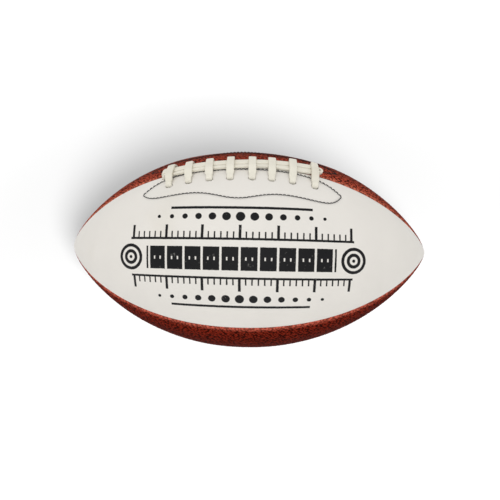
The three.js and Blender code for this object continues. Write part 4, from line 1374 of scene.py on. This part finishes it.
class FOOTBALL_OT_facings(bpy.types.Operator):
    """Make the patches that the lace is threaded through, and the tongue below it"""

    bl_idname = "football.facings"
    bl_label = "Facings and Tongue"

    def execute(self, context):
        ball, lacing, inside, colours = plans_of(context)
        s = lacing.sizes
        leather = plain_patch(colours)
        along = np.sin(np.linspace(-QUARTER, QUARTER, 221))
        facing_tip, tongue_tip = 0.995, 0.99  # shares of the half length that keep a blunt end
        x = facing_tip * (s.stitch_half + inside.facing_margin) * along
        start, reach = lacing.edges(x, inside.facing_start, inside.facing_margin)
        foot = inside.facing_depth + inside.facing
        for side, name, low, high in ((1, "front", start, reach), (-1, "back", -reach, -start)):
            holes = lacing.slots(side)
            layer = patch_layer(ball, x + s.shift, low, high, 33, inside.facing_depth, foot, holes)
            piece = layer.make("facing_patch_" + name, leather, "facing", "lace_facing_" + name)
            layer.declare(piece, "laid", ["lining_cloth_" + name])
        x = tongue_tip * inside.slit_half * along
        half = inside.tongue_reach * (1 - np.abs(along * tongue_tip) ** 12)
        depth = inside.tongue_depth
        layer = patch_layer(ball, x + s.shift, -half, half, 31, depth, depth + inside.tongue, [])
        piece = layer.make("tongue_flap", leather, "facing", "lace_tongue")
        layer.declare(piece, "laid", ["air_bag"])
        return {"FINISHED"}


class FOOTBALL_OT_bladder(bpy.types.Operator):
    """Make the rubber air bag"""

    bl_idname = "football.bladder"
    bl_label = "Bladder"

    def execute(self, context):
        ball, lacing, inside, colours = plans_of(context)
        rubber = dull_rubber("bladder_rubber", colours.rubber)
        piece = bladder_layer(ball, inside, lacing).make("air_bag", rubber, "bladder", "bladder")
        mesh = bmesh.new()
        mesh.from_mesh(piece.data)
        bmesh.ops.remove_doubles(mesh, verts=mesh.verts, dist=1e-6)
        mesh.to_mesh(piece.data)
        mesh.free()
        return {"FINISHED"}


class FOOTBALL_OT_seams(bpy.types.Operator):
    """Make the thread of the sewn seams"""

    bl_idname = "football.seams"
    bl_label = "Seam Thread"

    def execute(self, context):
        ball, _, inside, colours = plans_of(context)
        thread = twisted_thread("seam_thread", shade(colours.cloth, 1.2))
        end, slit = inside.sewn_to * ball.half, inside.slit_half
        plans = (
            ("lace_left", 0.0, -end, -slit),
            ("lace_right", 0.0, slit, end),
            ("front", QUARTER, -end, end),
            ("lower", 2 * QUARTER, -end, end),
            ("rear", 3 * QUARTER, -end, end),
        )
        for name, seam, first, last in plans:
            points, faces, values = self.cord(ball, inside, seam, first, last)
            node = "seam_thread_" + name
            new_piece("seam_cord_" + name, points, faces, thread, node, values)
        return {"FINISHED"}

    def cord(self, ball, inside, seam, first, last):
        """A round thread that lies beside the turned-in edges, and is drawn in and thinned at each stitch
        by a cosine of the way along."""
        sides, steps = 8, 6
        pulled_in, pulled_aside, thinned = 0.12 * MM, 0.1 * MM, 0.07
        x = np.linspace(first, last, steps * int((last - first) / inside.seam_stitch) + 1)
        wave = np.cos(TURN * (x - first) / inside.seam_stitch)
        out = ball.radius_at(x, inside.seam_depth) - pulled_in * wave
        path = ball.beside(x, out, inside.seam_aside - pulled_aside * wave, seam)
        turn = np.linspace(0, TURN, sides, endpoint=False)
        radius = (inside.seam_thread / 2 * (1 - thinned * (1 + wave)))[:, None]
        normals = np.broadcast_to([0, -math.sin(seam), math.cos(seam)], path.shape)
        rings = carry(path, normals, radius * np.cos(turn), radius * np.sin(turn))
        place = np.stack(np.broadcast_arrays(x[:, None], turn / TURN, 0.0), axis=-1)
        return tube_points(rings), tube_faces(*rings.shape[:2]), {"place": tube_values(place)}


class FOOTBALL_OT_valve(bpy.types.Operator):
    """Make the rubber valve and its plug"""

    bl_idname = "football.valve"
    bl_label = "Valve"

    def execute(self, context):
        ball, _, v, colours = plans_of(context)
        rubber = dull_rubber("valve_rubber", shade(colours.rubber, 1.6))
        gap = ball.body.clearance
        flange_foot = -v.facing_depth - v.flange_thickness
        sleeve = (
            (v.bore, -gap), (v.bore, -v.valve_length), (0.8 * v.stem, -v.valve_length), (v.stem, flange_foot),
            (v.flange, flange_foot), (v.flange, -v.facing_depth), (v.stem, -v.facing_depth), (v.stem, -gap),
        )
        head_top = -v.valve_length - gap
        foot = head_top - v.head_thickness
        plug = (
            (v.needle, -2 * gap), (v.needle, foot), (v.head, foot),
            (v.head, head_top), (v.bore - gap, head_top), (v.bore - gap, -2 * gap),
        )
        plans = (("valve_sleeve", "valve_body", sleeve), ("valve_plug", "valve_core", plug))
        for name, node, outline in plans:
            rings = self.turned(ball, np.array(outline))
            new_piece(name, rings, tube_faces(*rings.shape[:2], is_loop=True), rubber, node)
        return {"FINISHED"}

    def turned(self, ball, outline):
        """A closed outline of (radius, height) turned round the ball's normal at the middle of the rear
        panel. Each corner is eased: it becomes two points a little along its edges and one between them and
        the corner."""
        ease, sides = 0.25 * MM, 48
        before, after = (outline + ease * unit(np.roll(outline, side, axis=0) - outline) for side in (1, -1))
        eased = np.stack([before, (before + 2 * outline + after) / 4, after], axis=1).reshape(-1, 2)
        turn = np.linspace(0, TURN, sides, endpoint=False)
        zero = np.zeros(1)
        along, across, out = ball.axes(zero, zero, VALVE_ANGLE)
        ring = np.cos(turn)[:, None] * along - np.sin(turn)[:, None] * across
        centre = ball.point(zero, zero, zero, VALVE_ANGLE)[0]
        return centre + eased[:, None, :1] * ring[None] + eased[:, None, 1:] * out


# Stage


class FOOTBALL_OT_stage(bpy.types.Operator):
    """Make the floor, the lamps and the camera"""

    bl_idname = "football.stage"
    bl_label = "Stage"

    def execute(self, context):
        scene = context.scene
        settings = scene.football_stage
        scene.view_settings.view_transform = "Standard"
        centre = Vector((0, 0, Ball(scene.football_body).axis_height))
        e = settings.elevation
        front, upright = Vector((0, -math.cos(e), math.sin(e))), Vector((0, math.sin(e), math.cos(e)))
        beside = front + settings.lamp_right * Vector((1, 0, 0)) - settings.lamp_below * upright
        overhead = Vector((-0.2, -0.4, 1.0))
        floor = self.floor(scene)
        self.sky(scene, settings.sky)
        self.floor_lamp(scene, settings, centre, beside.normalized(), floor)
        self.lamp(scene, "main_lamp", front, settings.lamp, math.radians(60))
        self.lamp(scene, "top_lamp", overhead, settings.top_lamp, math.radians(90))
        self.camera(scene, settings, centre, front, upright)
        return {"FINISHED"}

    def place(self, scene, name, data):
        thing = bpy.data.objects.new(name, data)
        scene.collection.objects.link(thing)
        return thing

    def floor(self, scene):
        """A plain square that reaches out of the picture."""
        size, below = 12.0, -0.1 * MM
        mesh = bpy.data.meshes.new("floor")
        corners = [(-size, -size, below), (size, -size, below), (size, size, below), (-size, size, below)]
        mesh.from_pydata(corners, [], [(0, 1, 2, 3)])
        mesh.materials.append(self.white_paint())
        floor = self.place(scene, "floor", mesh)
        return floor

    def white_paint(self):
        """Matt white that looks white to the camera, also in reflections, and still takes the shadow. It
        glows a little in front of the ball and far from it, and behind the ball for the light that it
        throws back."""
        paint = Paint("studio_white")
        path = paint.node("ShaderNodeLightPath")
        camera, glossy, bounced = (
            Value(paint, path.outputs[name]) for name in ("Is Camera Ray", "Is Glossy Ray", "Is Diffuse Ray")
        )
        place = paint.in_space()
        back = paint.split(place)[1]
        away = paint.value("ShaderNodeVectorMath", {"operation": "LENGTH"}, {0: place}, output="Value")
        ahead, far, behind_ball = 1 - back.step(-0.03, 0.06), away.step(0.15, 0.95), back.step(0.0, 0.05)
        glow = camera.most(glossy) * (ahead * 0.2 + far * 0.5) + bounced * behind_ball * 0.2
        pale, darker = (0.5, 0.5, 0.5), (0.3, 0.3, 0.3)
        paint.finish(base_color=paint.mix(bounced, pale, darker), roughness=1.0, specular_ior_level=0.0)
        light = paint.node("ShaderNodeEmission", None, {"Color": paint.mix(glow, (0, 0, 0), (1, 1, 1))})
        matt = paint.tree.nodes["Principled BSDF"]
        lit = paint.node("ShaderNodeAddShader", None, {0: matt.outputs[0], 1: light.outputs[0]})
        paint.feed(paint.tree.nodes["Material Output"].inputs["Surface"], lit.outputs[0])
        return paint.owner

    def sky(self, scene, strength):
        """Even light from all round, which the camera sees as plain white."""
        scene.world = bpy.data.worlds.new("studio")
        paint = Paint("studio", scene.world)
        white = rgba((1, 1, 1))
        light = paint.tree.nodes["Background"]
        paint.feed(light.inputs["Color"], white)
        paint.feed(light.inputs["Strength"], strength)
        seen = paint.node("ShaderNodeBackground", None, {"Color": white})
        is_seen = paint.node("ShaderNodeLightPath").outputs["Is Camera Ray"]
        mixed = paint.node("ShaderNodeMixShader", None, {0: is_seen, 1: light.outputs[0], 2: seen.outputs[0]})
        paint.feed(paint.tree.nodes["World Output"].inputs["Surface"], mixed.outputs[0])

    def lamp(self, scene, name, towards, strength, breadth):
        """A very distant lamp, as broad in the sky as an angle."""
        data = bpy.data.lights.new(name, "SUN")
        data.energy = strength
        data.angle = breadth
        lamp = self.place(scene, name, data)
        lamp.rotation_euler = towards.to_track_quat("Z", "Y").to_euler()

    def floor_lamp(self, scene, settings, centre, towards, floor):
        """A soft lamp near the camera that lights only the floor, where the ball stands in its way. Its light
        doesn't weaken with distance."""
        data = bpy.data.lights.new("floor_lamp", "POINT")
        data.shadow_soft_size = settings.lamp_distance * math.tan(settings.lamp_breadth / 2)
        data.energy = 2 * TURN * settings.floor_lamp
        paint = Paint("floor_lamp", data)
        even = paint.node("ShaderNodeLightFalloff", None, {"Strength": 1}).outputs["Constant"]
        paint.feed(paint.tree.nodes["Emission"].inputs["Strength"], even)
        lamp = self.place(scene, "floor_lamp", data)
        lit = bpy.data.collections.new("floor_only")
        lit.objects.link(floor)
        lamp.light_linking.receiver_collection = lit
        lamp.location = centre + settings.lamp_distance * towards
        lamp.visible_camera = False

    def camera(self, scene, settings, centre, front, upright):
        """Placed as the photograph's camera was found to stand: distance, elevation, yaw and roll round the
        ball."""
        yaw, roll, far = settings.yaw, settings.roll, settings.distance
        aside = Vector((1, 0, 0))
        place = centre + far * math.sin(yaw) * aside + far * math.cos(yaw) * front
        aim = centre + settings.aim_right * aside - settings.aim_below * upright
        ahead = (aim - place).normalized()
        level = ahead.cross(upright).normalized()
        plumb = level.cross(ahead)
        right = math.cos(roll) * level + math.sin(roll) * plumb
        up = math.cos(roll) * plumb - math.sin(roll) * level
        data = bpy.data.cameras.new("camera")
        data.lens = settings.lens
        data.sensor_width = 36
        data.clip_start = 10 * MM
        camera = self.place(scene, "camera", data)
        camera.matrix_world = Matrix.Translation(place) @ Matrix((right, up, -ahead)).transposed().to_4x4()
        scene.camera = camera


class FOOTBALL_PT_panel(bpy.types.Panel):
    """Lists the ball's sizes, finishes and pieces"""

    bl_idname = "FOOTBALL_PT_panel"
    bl_label = "Football"
    bl_space_type = "VIEW_3D"
    bl_region_type = "UI"
    bl_category = "Football"

    def draw(self, context):
        for group in (getattr(context.scene, name) for name in GROUPS):
            box = self.layout.box()
            for key in group.__annotations__:
                box.prop(group, key)
        for operator in OPERATORS:
            self.layout.operator(operator.bl_idname)


OPERATORS = (
    FOOTBALL_OT_stage,
    FOOTBALL_OT_cover,
    FOOTBALL_OT_lace,
    FOOTBALL_OT_stitching,
    FOOTBALL_OT_linings,
    FOOTBALL_OT_facings,
    FOOTBALL_OT_bladder,
    FOOTBALL_OT_seams,
    FOOTBALL_OT_valve,
)
GROUPS = {
    "football_body": FootballBody,
    "football_lacing": FootballLacing,
    "football_inside": FootballInside,
    "football_colours": FootballColours,
    "football_stage": FootballStage,
}


def register():
    for cls in (*GROUPS.values(), *OPERATORS, FOOTBALL_PT_panel):
        bpy.utils.register_class(cls)
    for name, group in GROUPS.items():
        setattr(bpy.types.Scene, name, PointerProperty(type=group))


def unregister():
    for name in GROUPS:
        delattr(bpy.types.Scene, name)
    for cls in (FOOTBALL_PT_panel, *OPERATORS[::-1], *GROUPS.values()):
        bpy.utils.unregister_class(cls)


def main():
    register()
    bpy.ops.football.stage()
    bpy.ops.football.cover()
    bpy.ops.football.lace()
    bpy.ops.football.stitching()
    bpy.ops.football.linings()
    bpy.ops.football.facings()
    bpy.ops.football.bladder()
    bpy.ops.football.seams()
    bpy.ops.football.valve()


if __name__ == "__main__":
    main()
